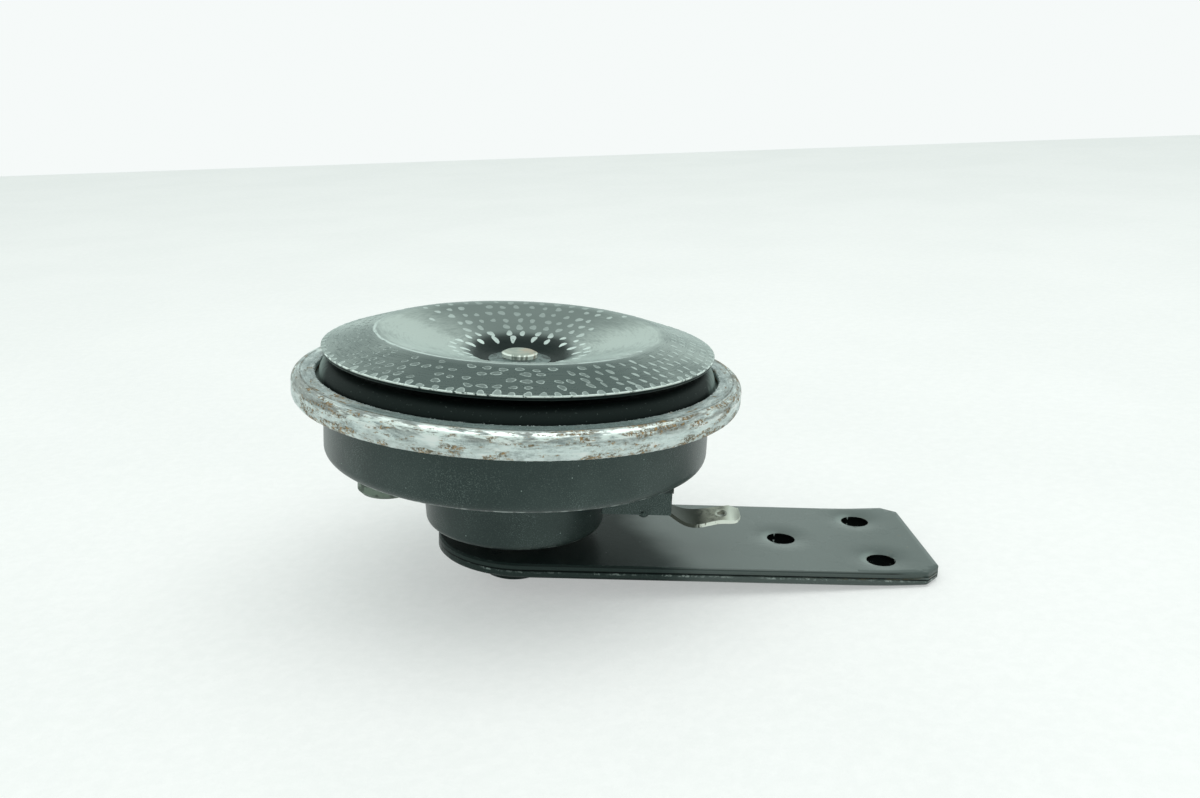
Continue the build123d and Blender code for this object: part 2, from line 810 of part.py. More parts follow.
def breaker_base():
    """Steel base welded to the pot floor, tapped for the stack screws."""
    base = plate(adjuster_x - breaker_width / 2, adjuster_x + breaker_width / 2, stack_start_y, stack_end_y,
                 z_pot_floor, breaker_base_height)
    for x, y in stack_screw_places():
        base -= disc(stack_screw_radius, breaker_base_height, x, y, z_pot_floor)
    return base


def moving_contact_spring():
    """Thin spring leaf with a tongue under the pusher flange and a tag for its lead."""
    leaf = stack_piece(z_moving, moving_spring_sheet, moving_spring_end_y, moving_spring_width)
    side = adjuster_x + moving_spring_width / 2
    leaf += plate(side, tongue_end_x, tongue_y - tongue_width / 2, tongue_y + tongue_width / 2, z_moving,
                  moving_spring_sheet)
    leaf += plate(side, side + spring_tag_reach, spring_tag_y - spring_tag_width / 2,
                  spring_tag_y + spring_tag_width / 2, z_moving, moving_spring_sheet)
    return leaf


def pusher_peg():
    """Fibre peg on the tongue, a small gap below the armature's pusher flange."""
    return disc(peg_radius, z_pusher - peg_gap - z_moving_top, peg_x, tongue_y, z_moving_top)


def fixed_contact_arm():
    """Stiff arm over the spring, held up at its far end by the adjusting screw."""
    return stack_piece(z_fixed, fixed_arm_sheet, fixed_arm_end_y)


def contact_button(z):
    """One tungsten contact."""
    return disc(contact_radius, contact_height, adjuster_x, contact_y, z)


def stack_screws():
    """The two screws that clamp the breaker stack."""
    screws = []
    for x, y in stack_screw_places():
        shank = disc(stack_screw_radius, z_stack_top - z_pot_floor, x, y, z_pot_floor)
        screws.append(shank + disc(stack_screw_head_radius, stack_screw_head, x, y, z_stack_top))
    return Compound(children=screws)


# ---------------------------------------------------------------- all pieces by name

pieces = {
    "bracket_upper_leaf": upper_leaf(),
    "bracket_lower_leaf": lower_leaf(),
    "mounting_nut": mounting_nut(),
    "spacer_washer": spacer_washer(),
    "tooth_lock_washer": tooth_lock_washer(),
    "pole_core": pole_core(),
    "rear_case": rear_case(),
    "coil_bobbin": coil_bobbin(),
    "coil_winding": coil_winding(),
    "yoke_plate": yoke_plate(),
    "terminal_lead": terminal_lead(),
    "contact_lead": contact_lead(),
    "lower_gasket": gasket(z_flange_top, lower_gasket_thickness),
    "diaphragm": diaphragm(),
    "upper_gasket": gasket(z_rim_top, upper_gasket_thickness),
    "clamp_ring": clamp_ring(),
    "armature": armature(),
    "backing_washer": backing_washer(),
    "disc_spacer": disc_spacer(),
    "resonator_disc": resonator_disc(),
    "cone_washer": cone_washer(),
    "centre_rivet": centre_rivet(),
    "terminal_seal": terminal_seal(),
    "terminal_block": terminal_block(),
    "spade_terminal": spade_terminal(),
    "terminal_rivet": terminal_rivet(),
    "terminal_inner_washer": terminal_inner_washer(),
    "solder_tag": solder_tag(),
    "adjuster_bush": adjuster_bush(),
    "adjuster_screw": adjuster_screw(),
    "breaker_base": breaker_base(),
    "lower_insulator": stack_piece(z_insulator, lower_insulator_thickness),
    "moving_contact_spring": moving_contact_spring(),
    "moving_contact": contact_button(z_moving_top),
    "pusher_peg": pusher_peg(),
    "upper_insulator": stack_piece(z_moving_top, 2 * contact_height),
    "fixed_contact": contact_button(z_moving_top + contact_height),
    "fixed_contact_arm": fixed_contact_arm(),
    "clamp_plate": stack_piece(z_clamp, clamp_plate_sheet),
    "stack_screws": stack_screws(),
}

os.makedirs("parts", exist_ok=True)
for name, solid in pieces.items():
    solid.label = name
    export_step(solid, f"parts/{name}.step")
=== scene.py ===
"""Car horn: finishes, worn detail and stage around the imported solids.

Run as a script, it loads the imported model, dresses it piece by piece and sets up the stage.
"""

import json
import math
import random

import bmesh
import bpy
from bpy.props import FloatProperty, FloatVectorProperty, IntProperty, PointerProperty
from mathutils import Matrix, Vector, noise
from mathutils.bvhtree import BVHTree
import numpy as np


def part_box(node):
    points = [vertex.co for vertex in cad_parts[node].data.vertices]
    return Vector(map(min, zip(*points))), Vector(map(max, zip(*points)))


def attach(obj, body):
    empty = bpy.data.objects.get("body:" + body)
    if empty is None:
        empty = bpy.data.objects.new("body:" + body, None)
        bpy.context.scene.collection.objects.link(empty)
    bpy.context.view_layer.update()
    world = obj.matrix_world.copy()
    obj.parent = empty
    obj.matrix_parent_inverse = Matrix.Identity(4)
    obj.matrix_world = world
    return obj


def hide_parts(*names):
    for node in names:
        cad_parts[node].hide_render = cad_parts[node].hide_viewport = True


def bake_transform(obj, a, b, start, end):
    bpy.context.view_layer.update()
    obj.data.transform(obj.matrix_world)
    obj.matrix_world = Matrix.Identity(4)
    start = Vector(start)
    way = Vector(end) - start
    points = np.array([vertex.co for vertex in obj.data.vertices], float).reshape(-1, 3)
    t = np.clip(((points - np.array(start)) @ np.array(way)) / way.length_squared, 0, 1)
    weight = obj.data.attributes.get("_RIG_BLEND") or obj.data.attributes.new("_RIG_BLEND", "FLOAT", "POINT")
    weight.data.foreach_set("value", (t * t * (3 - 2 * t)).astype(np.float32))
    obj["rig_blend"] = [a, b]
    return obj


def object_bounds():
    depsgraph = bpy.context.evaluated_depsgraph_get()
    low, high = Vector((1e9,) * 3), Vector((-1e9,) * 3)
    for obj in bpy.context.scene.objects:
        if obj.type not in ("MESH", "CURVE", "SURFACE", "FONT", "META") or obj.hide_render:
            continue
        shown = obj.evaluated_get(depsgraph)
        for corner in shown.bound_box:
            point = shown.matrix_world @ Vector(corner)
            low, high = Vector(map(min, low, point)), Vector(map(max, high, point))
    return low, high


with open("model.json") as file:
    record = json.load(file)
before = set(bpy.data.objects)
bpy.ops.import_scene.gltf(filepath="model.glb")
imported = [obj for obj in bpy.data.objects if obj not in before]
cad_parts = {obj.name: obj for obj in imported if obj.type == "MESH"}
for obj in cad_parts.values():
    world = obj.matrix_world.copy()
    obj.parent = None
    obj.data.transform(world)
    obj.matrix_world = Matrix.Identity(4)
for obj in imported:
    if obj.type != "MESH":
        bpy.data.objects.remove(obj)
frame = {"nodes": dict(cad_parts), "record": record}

bl_info = {
    "name": "Car Horn Dressing",
    "version": (1, 0, 0),
    "blender": (4, 5, 0),
    "location": "3D View > Sidebar > Horn",
    "description": "Finishes, worn detail and a plain stage for a disc horn",
    "category": "Object",
}

MM = 0.001
CAD_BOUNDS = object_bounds()

HOUSING = "housing"
VIBRATOR = "vibrator"
NODES = frame["nodes"]
SLOTS = {entry["node"]: entry["material_slot"] for entry in frame["record"]["subparts"]}

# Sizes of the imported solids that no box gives. Heights count from the nut's lower face.
BOLT_HOLES = ((63.015 * MM, 0.0), (83.8 * MM, 12.0 * MM), (83.8 * MM, -12.0 * MM))
BOLT_HOLE_RADIUS = 3.3 * MM
BLADE_HOLE = (46.643 * MM, -9.497 * MM)
DISC_RADIUS = 43.5 * MM
DISC_CREST = 31.8 * MM          # radius of the crest
DISC_RIM_HEIGHT = 54.3 * MM
POT_UNDERSIDE = 29.9 * MM
RING_MOUTH = 44.75 * MM
RING_BORE = 48.5 * MM
RING_LIP = 44.2 * MM
NUT_FLAT = 6.5 * MM             # half its width and its height, both
LEAF_SHEET = 1.6 * MM
DIAPHRAGM_CREST = 40.45 * MM    # radius where shoulder and middle part
DIAPHRAGM_HELD = 51.0 * MM      # height that stays with the housing
DIAPHRAGM_FREE = 48.1 * MM      # height that goes with the stroke
WIRE_PITCH = 0.42               # one turn of the winding, in millimetres

RING_STEPS = 640                # facets round the clamp ring
RING_SPACING = 0.55 * MM        # mesh along its section
RING_BEND_STEPS = 7             # facets round each bend of its section
RING_MOUTH_BEND = 0.35 * MM
RING_LIP_BEND = 0.25 * MM
PIP_RADIUS = 1.15 * MM
PIP_PLACE = (28.3 * MM, 0.55 * MM, 0.1 * MM)    # along the bracket, in from the block's side, over its foot
COOL = (0.8, 1.0, 0.96, 1.0)    # tint of the light off black paint

FLOOR_REACH = 1.25              # metres, half a side
SOFT_BOX_SIZE = (1.3, 0.9)      # metres
SOFT_BOX_PLACE = (0.05, -0.1, 1.0)
SENSOR_WIDTH = 36.0             # millimetres
CLIP = (0.01, 20.0)             # metres


# ---- shader building


def binary(operation, swapped=False):
    """A method that joins a signal and another value in a Math node."""

    def method(self, other):
        first, second = (other, self) if swapped else (self, other)
        return self.maths(operation, first, second)

    return method


class Signal:
    """One output of a shader node. Arithmetic on signals adds Math nodes."""

    def __init__(self, shader, socket):
        self.shader = shader
        self.socket = socket

    def maths(self, operation, *values):
        """The result of a Math node on some values."""
        return self.shader.node("ShaderNodeMath", {"operation": operation}, dict(enumerate(values)))

    def __abs__(self):
        return self.maths("ABSOLUTE", self)

    __add__, __radd__ = binary("ADD"), binary("ADD", swapped=True)
    __sub__, __rsub__ = binary("SUBTRACT"), binary("SUBTRACT", swapped=True)
    __mul__, __rmul__ = binary("MULTIPLY"), binary("MULTIPLY", swapped=True)
    __truediv__, __rtruediv__ = binary("DIVIDE"), binary("DIVIDE", swapped=True)
    __pow__, __rpow__ = binary("POWER"), binary("POWER", swapped=True)
    least = binary("MINIMUM")
    most = binary("MAXIMUM")


def span(x, y):
    """Length of a flat vector, from the signals of its two parts."""
    return (x * x + y * y) ** 0.5


def dimmed(colour, factor):
    """A darker shade of a colour."""
    return [factor * part for part in colour]


class Shader:
    """A material or world built from expressions."""

    def __init__(self, owner):
        owner.use_nodes = True
        self.owner = owner
        self.tree = owner.node_tree
        self.tree.nodes.clear()

    def node(self, kind, settings=None, inputs=None, output=0):
        """Add one shader node: its settings first, then the values or links of its sockets."""
        made = self.tree.nodes.new(kind)
        for key, value in (settings or {}).items():
            setattr(made, key, value)
        for key, value in (inputs or {}).items():
            if isinstance(value, Signal):
                self.tree.links.new(value.socket, made.inputs[key])
            else:
                made.inputs[key].default_value = value
        return Signal(self, made.outputs[output]) if made.outputs else None

    @staticmethod
    def opaque(colour):
        """A colour with its alpha, or a signal as it is."""
        return colour if isinstance(colour, Signal) else (*tuple(colour)[:3], 1.0)

    def place(self):
        """The point on the piece, in millimetres."""
        point = self.node("ShaderNodeTexCoord", output="Object")
        return self.node("ShaderNodeVectorMath", {"operation": "SCALE"}, {0: point, "Scale": 1.0 / MM})

    def split(self, vector):
        """The three parts of a vector."""
        made = self.node("ShaderNodeSeparateXYZ", None, {0: vector}).socket.node
        return [Signal(self, socket) for socket in made.outputs]

    def joined(self, x, y, z):
        """A vector from three values."""
        return self.node("ShaderNodeCombineXYZ", None, {0: x, 1: y, 2: z})

    def stretched(self, vector, x, y, z):
        """A vector with each part scaled by its own factor."""
        return self.node("ShaderNodeVectorMath", {"operation": "MULTIPLY"}, {0: vector, 1: (x, y, z)})

    def shifted(self, vector, by):
        """A vector moved by a fixed amount, so that two noises don't match."""
        return self.node("ShaderNodeVectorMath", {"operation": "ADD"}, {0: vector, 1: (by, by, by)})

    def noise(self, at, scale, detail=3.0, roughness=0.5, distortion=0.0):
        """Cloudy noise about 0.5, scale in features per millimetre."""
        sockets = {"Vector": at, "Scale": scale, "Detail": detail, "Roughness": roughness}
        return self.node("ShaderNodeTexNoise", None, {**sockets, "Distortion": distortion})

    def cells(self, at, scale, output="Distance"):
        """Scattered points: the distance to the nearest one, or its own random colour."""
        return self.node("ShaderNodeTexVoronoi", None, {"Vector": at, "Scale": scale}, output)

    def specks(self, point, scale, size, rarity):
        """Round specks, their size a share of a cell. A higher rarity leaves more cells empty."""
        point = self.shifted(point, 3.0)
        near = self.rise(self.cells(point, scale), size, size - 0.04)
        return near * self.rise(self.cells(point, scale, "Color"), rarity, rarity + 0.04)

    def rise(self, value, low, high):
        """0 up to low and 1 from high, smooth between. It falls where low is over high."""
        sockets = {"Value": value, "From Min": low, "From Max": high}
        return self.node("ShaderNodeMapRange", {"interpolation_type": "SMOOTHSTEP"}, sockets)

    def mix(self, factor, first, second):
        """A colour between two colours."""
        sockets = {0: factor, 6: self.opaque(first), 7: self.opaque(second)}
        return self.node("ShaderNodeMix", {"data_type": "RGBA"}, sockets, output=2)

    def bump(self, height, distance, strength=1.0):
        """A normal from a height, distance in metres."""
        sockets = {"Height": height, "Distance": distance, "Strength": strength}
        return self.node("ShaderNodeBump", None, sockets)

    def edges(self, radius):
        """1 along the edges of a piece, within a radius in metres."""
        soft = self.node("ShaderNodeBevel", {"samples": 4}, {"Radius": radius})
        plain = self.node("ShaderNodeNewGeometry", output="Normal")
        match = self.node("ShaderNodeVectorMath", {"operation": "DOT_PRODUCT"}, {0: soft, 1: plain}, "Value")
        return self.rise(match, 0.97, 0.85)

    def stored(self, name):
        """A value stored on the mesh."""
        return self.node("ShaderNodeAttribute", {"attribute_name": name}, output="Fac")

    def around(self):
        """The point, its three parts and its distance from the horn axis, all in millimetres."""
        point = self.place()
        x, y, z = self.split(point)
        return point, x, y, z, span(x, y)

    def surface(self, colour, roughness, metallic=0.0, normal=None, **fixed):
        """A Principled surface. The fixed values are socket names with underscores."""
        sockets = {"Base Color": self.opaque(colour), "Roughness": roughness, "Metallic": metallic}
        if normal is not None:
            sockets["Normal"] = normal
        sockets.update({key.replace("_", " "): value for key, value in fixed.items()})
        return self.node("ShaderNodeBsdfPrincipled", None, sockets)

    def finished(self, surface):
        """Send a surface to the output and hand back the material or world."""
        world = isinstance(self.owner, bpy.types.World)
        kind = "ShaderNodeOutputWorld" if world else "ShaderNodeOutputMaterial"
        self.node(kind, None, {"Surface": surface})
        return self.owner

    def finish(self, *values, **fixed):
        """A whole material with one Principled surface."""
        return self.finished(self.surface(*values, **fixed))


def new_material(name):
    """The shader of a new material."""
    return Shader(bpy.data.materials.new(name))


# ---- settings


def number(name, description, value, **more):
    """A number that a user sets."""
    return FloatProperty(name=name, description=description, default=value, **more)


def length(name, description, millimetres):
    """A size, kept in metres."""
    return number(name, description, millimetres * MM, unit="LENGTH", precision=5)


def share(name, description, value):
    """A factor from 0 to 1."""
    return number(name, description, value, min=0.0, max=1.0, subtype="FACTOR")


def angle(name, description, degrees):
    """An angle, kept in radians."""
    return number(name, description, math.radians(degrees), subtype="ANGLE")


def colour(name, description, value):
    """A colour in linear light."""
    return FloatVectorProperty(name=name, description=description, default=value, size=3, min=0.0, max=1.0,
                               subtype="COLOR")


def whole(name, description, value):
    """A count or a seed."""
    return IntProperty(name=name, description=description, default=value, min=0)


class HornColours(bpy.types.PropertyGroup):
    """Colours of the finishes."""

    paint: colour("Paint", "Satin black paint of case and bracket", (0.011, 0.019, 0.018))
    disc_paint: colour("Disc paint", "Thin black paint of the resonator disc", (0.016, 0.026, 0.024))
    dust: colour("Dust", "Pale dust that lies on the paint", (0.31, 0.38, 0.355))
    haze: colour("Haze", "Scuffed haze on the disc and the leaves", (0.4, 0.445, 0.415))
    bare: colour("Bare steel", "Steel where the paint has worn off", (0.62, 0.7, 0.67))
    zinc: colour("Zinc", "Dull zinc of the clamp ring", (0.23, 0.27, 0.27))
    oxide: colour("Zinc oxide", "White bloom on the clamp ring", (0.66, 0.73, 0.72))
    grime: colour("Grime", "Brown grey film on the clamp ring", (0.15, 0.135, 0.115))
    rust: colour("Rust", "Dry brown rust", (0.125, 0.088, 0.04))
    fresh_rust: colour("Fresh rust", "Orange rust specks", (0.31, 0.175, 0.05))
    rubber: colour("Rubber", "Black rubber of the terminal seal", (0.012, 0.014, 0.014))
    moulding: colour("Moulding", "Dark moulding of the terminal block", (0.02, 0.029, 0.028))
    tin: colour("Tin", "Dulled tin on the blade", (0.5, 0.5, 0.42))
    tarnish: colour("Tarnish", "Olive tarnish on the blade", (0.036, 0.042, 0.03))


class HornMarks(bpy.types.PropertyGroup):
    """Worn dimples of the resonator disc."""

    relief: length("Relief", "Height of the ring over the sheet", 0.05)
    scatter: length("Scatter", "How far a dimple lies off its place in the row", 0.45)
    seed: whole("Seed", "Start of the random places", 7)


class HornRing(bpy.types.PropertyGroup):
    """Rolled clamp ring."""

    sheet: length("Sheet", "Thickness of the ring's sheet", 1.3)
    top_bend: length("Top bend", "Outer bend radius at the top", 1.9)
    low_bend: length("Low bend", "Outer bend radius at the bottom", 1.7)
    waviness: length("Waviness", "Unevenness of the rolled band", 0.07)
    edge_wear: length("Edge wear", "Unevenness of the sheared edges", 0.16)
    grit: whole("Grit", "Crumbs of paint and zinc along the mouth", 420)
    grit_size: length("Grit size", "Mean radius of a crumb", 0.11)
    seed: whole("Seed", "Start of the random places", 11)


class HornBracket(bpy.types.PropertyGroup):
    """Bracket leaves."""

    dish_depth: length("Dish depth", "How far the sheet dips at a bolt hole", 0.55)
    dish_reach: length("Dish reach", "How far past a hole the dip runs", 5.5)
    proud: length("Proud", "How far the lower leaf stands out past the upper one at its sides", 0.35)
    proud_start: length("Proud from", "Where the lower leaf begins to stand out", -4.0)
    curl: length("Curl", "How far the free end bends up", 0.8)
    curl_start: length("Curl start", "Where the bend towards the free end begins", 75.0)
    grid: length("Grid", "Spacing of the mesh that carries the dips", 1.6)


class HornStage(bpy.types.PropertyGroup):
    """Floor, light and camera."""

    lens: number("Lens", "Focal length", 36.0, unit="CAMERA")
    heading: angle("Heading", "Camera turned about the vertical", 3.5)
    pitch: angle("Pitch", "Camera tipped down", 15.6)
    roll: angle("Roll", "Camera turned about its own axis", 2.77)
    distance: length("Distance", "Camera to the point it looks at", 271.84)
    aim_along: length("Aim along", "Point looked at, along the bracket", 18.46)
    aim_across: length("Aim across", "Point looked at, across the bracket", -1.13)
    aim_height: length("Aim height", "Point looked at, over the nut", 42.392)
    backdrop: colour("Backdrop", "Pale backdrop", (0.92, 0.955, 0.946))
    light: colour("Light", "Tint of the even light", (0.82, 0.96, 0.91))
    floor: colour("Floor", "Pale floor", (0.98, 0.96, 0.95))
    glow: share("Floor glow", "How far the floor shows plain white", 0.42)
    ambient: number("Ambient", "Strength of the even light", 0.74, min=0.0)
    overhead: number("Overhead", "Power of the soft box overhead", 5.0, unit="POWER")


SETTINGS = {
    "horn_colours": HornColours,
    "horn_marks": HornMarks,
    "horn_ring": HornRing,
    "horn_bracket": HornBracket,
    "horn_stage": HornStage,
}


# ---- mesh helpers


def add_object(name, data):
    """A new object in the scene."""
    made = bpy.data.objects.new(name, data)
    bpy.context.scene.collection.objects.link(made)
    return made


def new_mesh(name, bm, material):
    """Turn a bmesh into a mesh with one material."""
    mesh = bpy.data.meshes.new(name)
    bm.to_mesh(mesh)
    bm.free()
    mesh.materials.append(material)
    return mesh


def new_piece(name, bm, body, material, smooth=35.0):
    """Turn a bmesh into a finished piece that rides on a body, or is left to blend between two."""
    mesh = new_mesh(name, bm, material)
    mesh.shade_smooth()
    mesh.set_sharp_from_angle(angle=math.radians(smooth))
    piece = add_object(name, mesh)
    if body:
        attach(piece, body)
    return piece


def refinish(node, material):
    """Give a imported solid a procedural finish."""
    slots = NODES[node].material_slots
    for slot in slots:
        slot.material = material
    if not slots:
        NODES[node].data.materials.append(material)


def clamped(value):
    """A number held between 0 and 1."""
    return max(0.0, min(1.0, value))


def polar(radius, turn, height=0.0):
    """A point at a radius and an angle about the horn axis."""
    return radius * math.cos(turn), radius * math.sin(turn), height


def rounded(corners, steps):
    """Points of a closed outline whose corners (radius, height, bend) are arcs."""
    points = []
    count = len(corners)
    for i, (r, z, bend) in enumerate(corners):
        here = Vector((r, z))
        if not bend:
            points.append(here)
            continue
        before = (Vector(corners[i - 1][:2]) - here).normalized()
        after = (Vector(corners[(i + 1) % count][:2]) - here).normalized()
        half = before.angle(after) / 2
        centre = here + (before + after).normalized() * bend / math.sin(half)
        start = here + before * bend / math.tan(half) - centre
        end = here + after * bend / math.tan(half) - centre
        sweep = start.angle_signed(end)
        for k in range(steps + 1):
            turn = -sweep * k / steps
            points.append(centre + Matrix.Rotation(turn, 2) @ start)
    return points


def lathe(outline, steps):
    """Turn a closed outline of (radius, height) about the horn axis."""
    bm = bmesh.new()
    rings = []
    for k in range(steps):
        turn = math.tau * k / steps
        rings.append([bm.verts.new(polar(radius, turn, height)) for radius, height in outline])
    for here, after in zip(rings, rings[1:] + rings[:1]):
        for i in range(len(outline)):
            j = (i + 1) % len(outline)
            bm.faces.new((here[i], after[i], after[j], here[j]))
    bmesh.ops.recalc_face_normals(bm, faces=bm.faces)
    return bm


def subdivided(points, spacing):
    """The same closed outline with long stretches divided."""
    result = []
    for here, after in zip(points, points[1:] + points[:1]):
        pieces = max(1, round((after - here).length / spacing))
        result.extend(here.lerp(after, k / pieces) for k in range(pieces))
    return result


def node_bmesh(node):
    """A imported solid's mesh as one welded bmesh."""
    bm = bmesh.new()
    bm.from_mesh(NODES[node].data)
    bmesh.ops.remove_doubles(bm, verts=bm.verts, dist=0.001 * MM)
    return bm


# ---- finishes


def painted(name, colours, gloss, dusting, ior=1.5, wear=None):
    """Satin black paint with a fine grain of dust, a few larger specks and a soft orange peel."""
    s = new_material(name)
    point = s.place()
    cloud = s.noise(point, 0.06, 4.0)
    grain = s.noise(s.shifted(point, 7.0), 4.2, 2.0, 0.7)
    drift = s.rise(s.noise(s.shifted(point, 31.0), 0.1, 3.0), 0.4, 0.65)
    fine = s.rise(grain, 0.5, 0.72) * (0.35 + 0.65 * drift)
    specks = s.specks(point, 0.55, 0.09, 0.62)
    film = s.rise(cloud, 0.35, 0.75) * 0.2
    tint = s.mix(((fine + film) * dusting + specks * 0.8).least(1.0), colours.paint, colours.dust)
    rough = gloss + 0.1 * cloud + 0.2 * fine * dusting
    # wear gives the share of bare steel; for the case it also holds a painted sheen on the pot's left and
    # right ends.
    if wear:
        bare = wear(s, point)
        tint = s.mix(bare, tint, colours.bare)
        rough = rough - 0.05 * bare
    peel = s.noise(point, 0.9, 3.0) + 0.6 * fine
    return s.finish(tint, rough, 0.0, s.bump(peel, 0.03 * MM), IOR=ior, Specular_Tint=COOL)


def case_finish(colours):
    """Paint of the drawn case, thinner on the corner of its pot, its left and right ends lighter as a
    painted sheen.
    """
    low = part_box("rear_case")[0].z / MM
    pot = POT_UNDERSIDE / MM

    def wear(s, point):
        x, y, z = s.split(point)
        radius = span(x, y)
        corner = s.rise(abs(z - (pot + 0.45)), 0.35, 0.1) * s.rise(radius, 40.5, 41.4)
        foot = s.rise(z, low + 0.9, low + 0.3) * s.rise(radius, 17.5, 19.0)
        broken = s.rise(s.noise(point, 0.5, 4.0, 0.7), 0.46, 0.62)
        # The last term is no wear but a painted sheen that lightens the left and right ends of the pot.
        return (corner * 0.42 + foot * 0.2) * broken + 0.06 * s.rise(abs(x), 35.0, 43.0)

    return painted("Case paint", colours, 0.3, 0.3, 1.47, wear)


def bracket_finish(colours):
    """Paint of the leaves: deep black as painted shade under the horn, a satin bloom with painted sheen past
    it, painted highlights and shade at the bolt holes and on the side faces, chipped edges.
    """
    s = new_material("Bracket paint")
    point = s.place()
    x, y, z = s.split(point)
    cloud = s.noise(point, 0.07, 4.0)
    grain = s.noise(s.shifted(point, 7.0), 4.2, 2.0, 0.7)
    fine = s.rise(grain, 0.52, 0.74)
    facing = s.split(s.node("ShaderNodeNewGeometry", output="Normal"))[2]
    side = s.rise(abs(facing), 0.7, 0.3)
    # Painted shade and sheen: 0 under the horn, where the leaves stay dark with little coat, 1 past it,
    # where they take a paler painted sheen and a glossy coat.
    painted_light_past_horn = s.rise(x + 0.3 * y + 8.0 * (cloud - 0.5), 26.0, 39.0)
    specks = s.specks(point, 0.45, 0.08, 0.66)
    # Share of the dust colour: real dust and specks, with a painted sheen past the horn.
    bloom = 0.02 + 0.15 * painted_light_past_horn * (0.7 + 0.6 * cloud) * (1.0 - 0.3 * side)
    # Painted light: the sheet's side faces are made lighter.
    bloom = bloom + 0.05 * side + 0.05 * fine + 0.4 * specks
    # Painted shade: the walls of the bolt holes turn near black and lose their coat.
    painted_hole_shade = 0.0
    for hole_x, hole_y in BOLT_HOLES:
        along, across = x - hole_x / MM, y - hole_y / MM
        away = span(along, across)
        # Painted highlight: a pale crescent on one side of each hole's dish.
        bloom = bloom + 0.3 * s.rise(away, 5.6, 3.5) * s.rise((across * 0.3 - along) / away, 0.1, 0.95)
        painted_hole_shade = painted_hole_shade + s.rise(away, 3.7, 3.5) * side
    tint = s.mix(bloom.least(1.0), colours.paint, colours.dust)
    nicks = s.rise(s.noise(point, 0.8, 4.0, 0.7), 0.5, 0.58)
    line = s.rise(s.noise(s.shifted(point, 13.0), 0.12, 3.0), 0.4, 0.6)
    seam = (NUT_FLAT + LEAF_SHEET) / MM
    ledge = s.rise(abs(z - seam + 0.22), 0.3, 0.12) * s.rise(abs(y), 17.5, 18.5)
    # Painted shade: a dark line on the side faces just over the seam where the two leaves meet.
    gap = s.rise(abs(z - seam - 0.14), 0.24, 0.1) * side
    bare = s.edges(0.25 * MM) * nicks * (0.1 + 0.3 * line) + ledge * nicks * (0.1 + 0.35 * line)
    tint = s.mix(bare.least(1.0), tint, colours.bare)
    # Painted shade: the top of the upper leaf's side faces turns near black, short of the free end, as the
    # shade on a rolled edge.
    rolled = side * s.rise(z, seam + 1.05, seam + 1.25) * s.rise(x, 88.0, 84.0)
    tint = s.mix((rolled * 0.85 + gap * 0.85 + painted_hole_shade).least(1.0), tint, dimmed(colours.paint, 0.1))
    brown = s.rise(s.noise(s.shifted(point, 5.0), 0.5, 4.0, 0.7) + 0.2 * s.edges(0.5 * MM), 0.66, 0.74)
    tint = s.mix(brown * s.rise(x, 60.0, 80.0) * 0.6 * (1.0 - painted_hole_shade), tint, colours.rust)
    peel = s.bump(s.noise(point, 0.9, 3.0) + 0.5 * fine, 0.02 * MM)
    rough = 0.24 + 0.08 * cloud + 0.15 * fine
    gloss = 0.05 + 0.84 * painted_light_past_horn * (1.0 - 0.22 * s.rise(x, 62.0, 90.0))
    coat = gloss * (1.0 - 0.4 * side) * (1.0 - painted_hole_shade) * (1.0 - gap)
    return s.finish(tint, rough, 0.0, peel, IOR=1.12, Specular_Tint=COOL,
                    Coat_Weight=coat, Coat_Roughness=0.3, Coat_IOR=1.6)


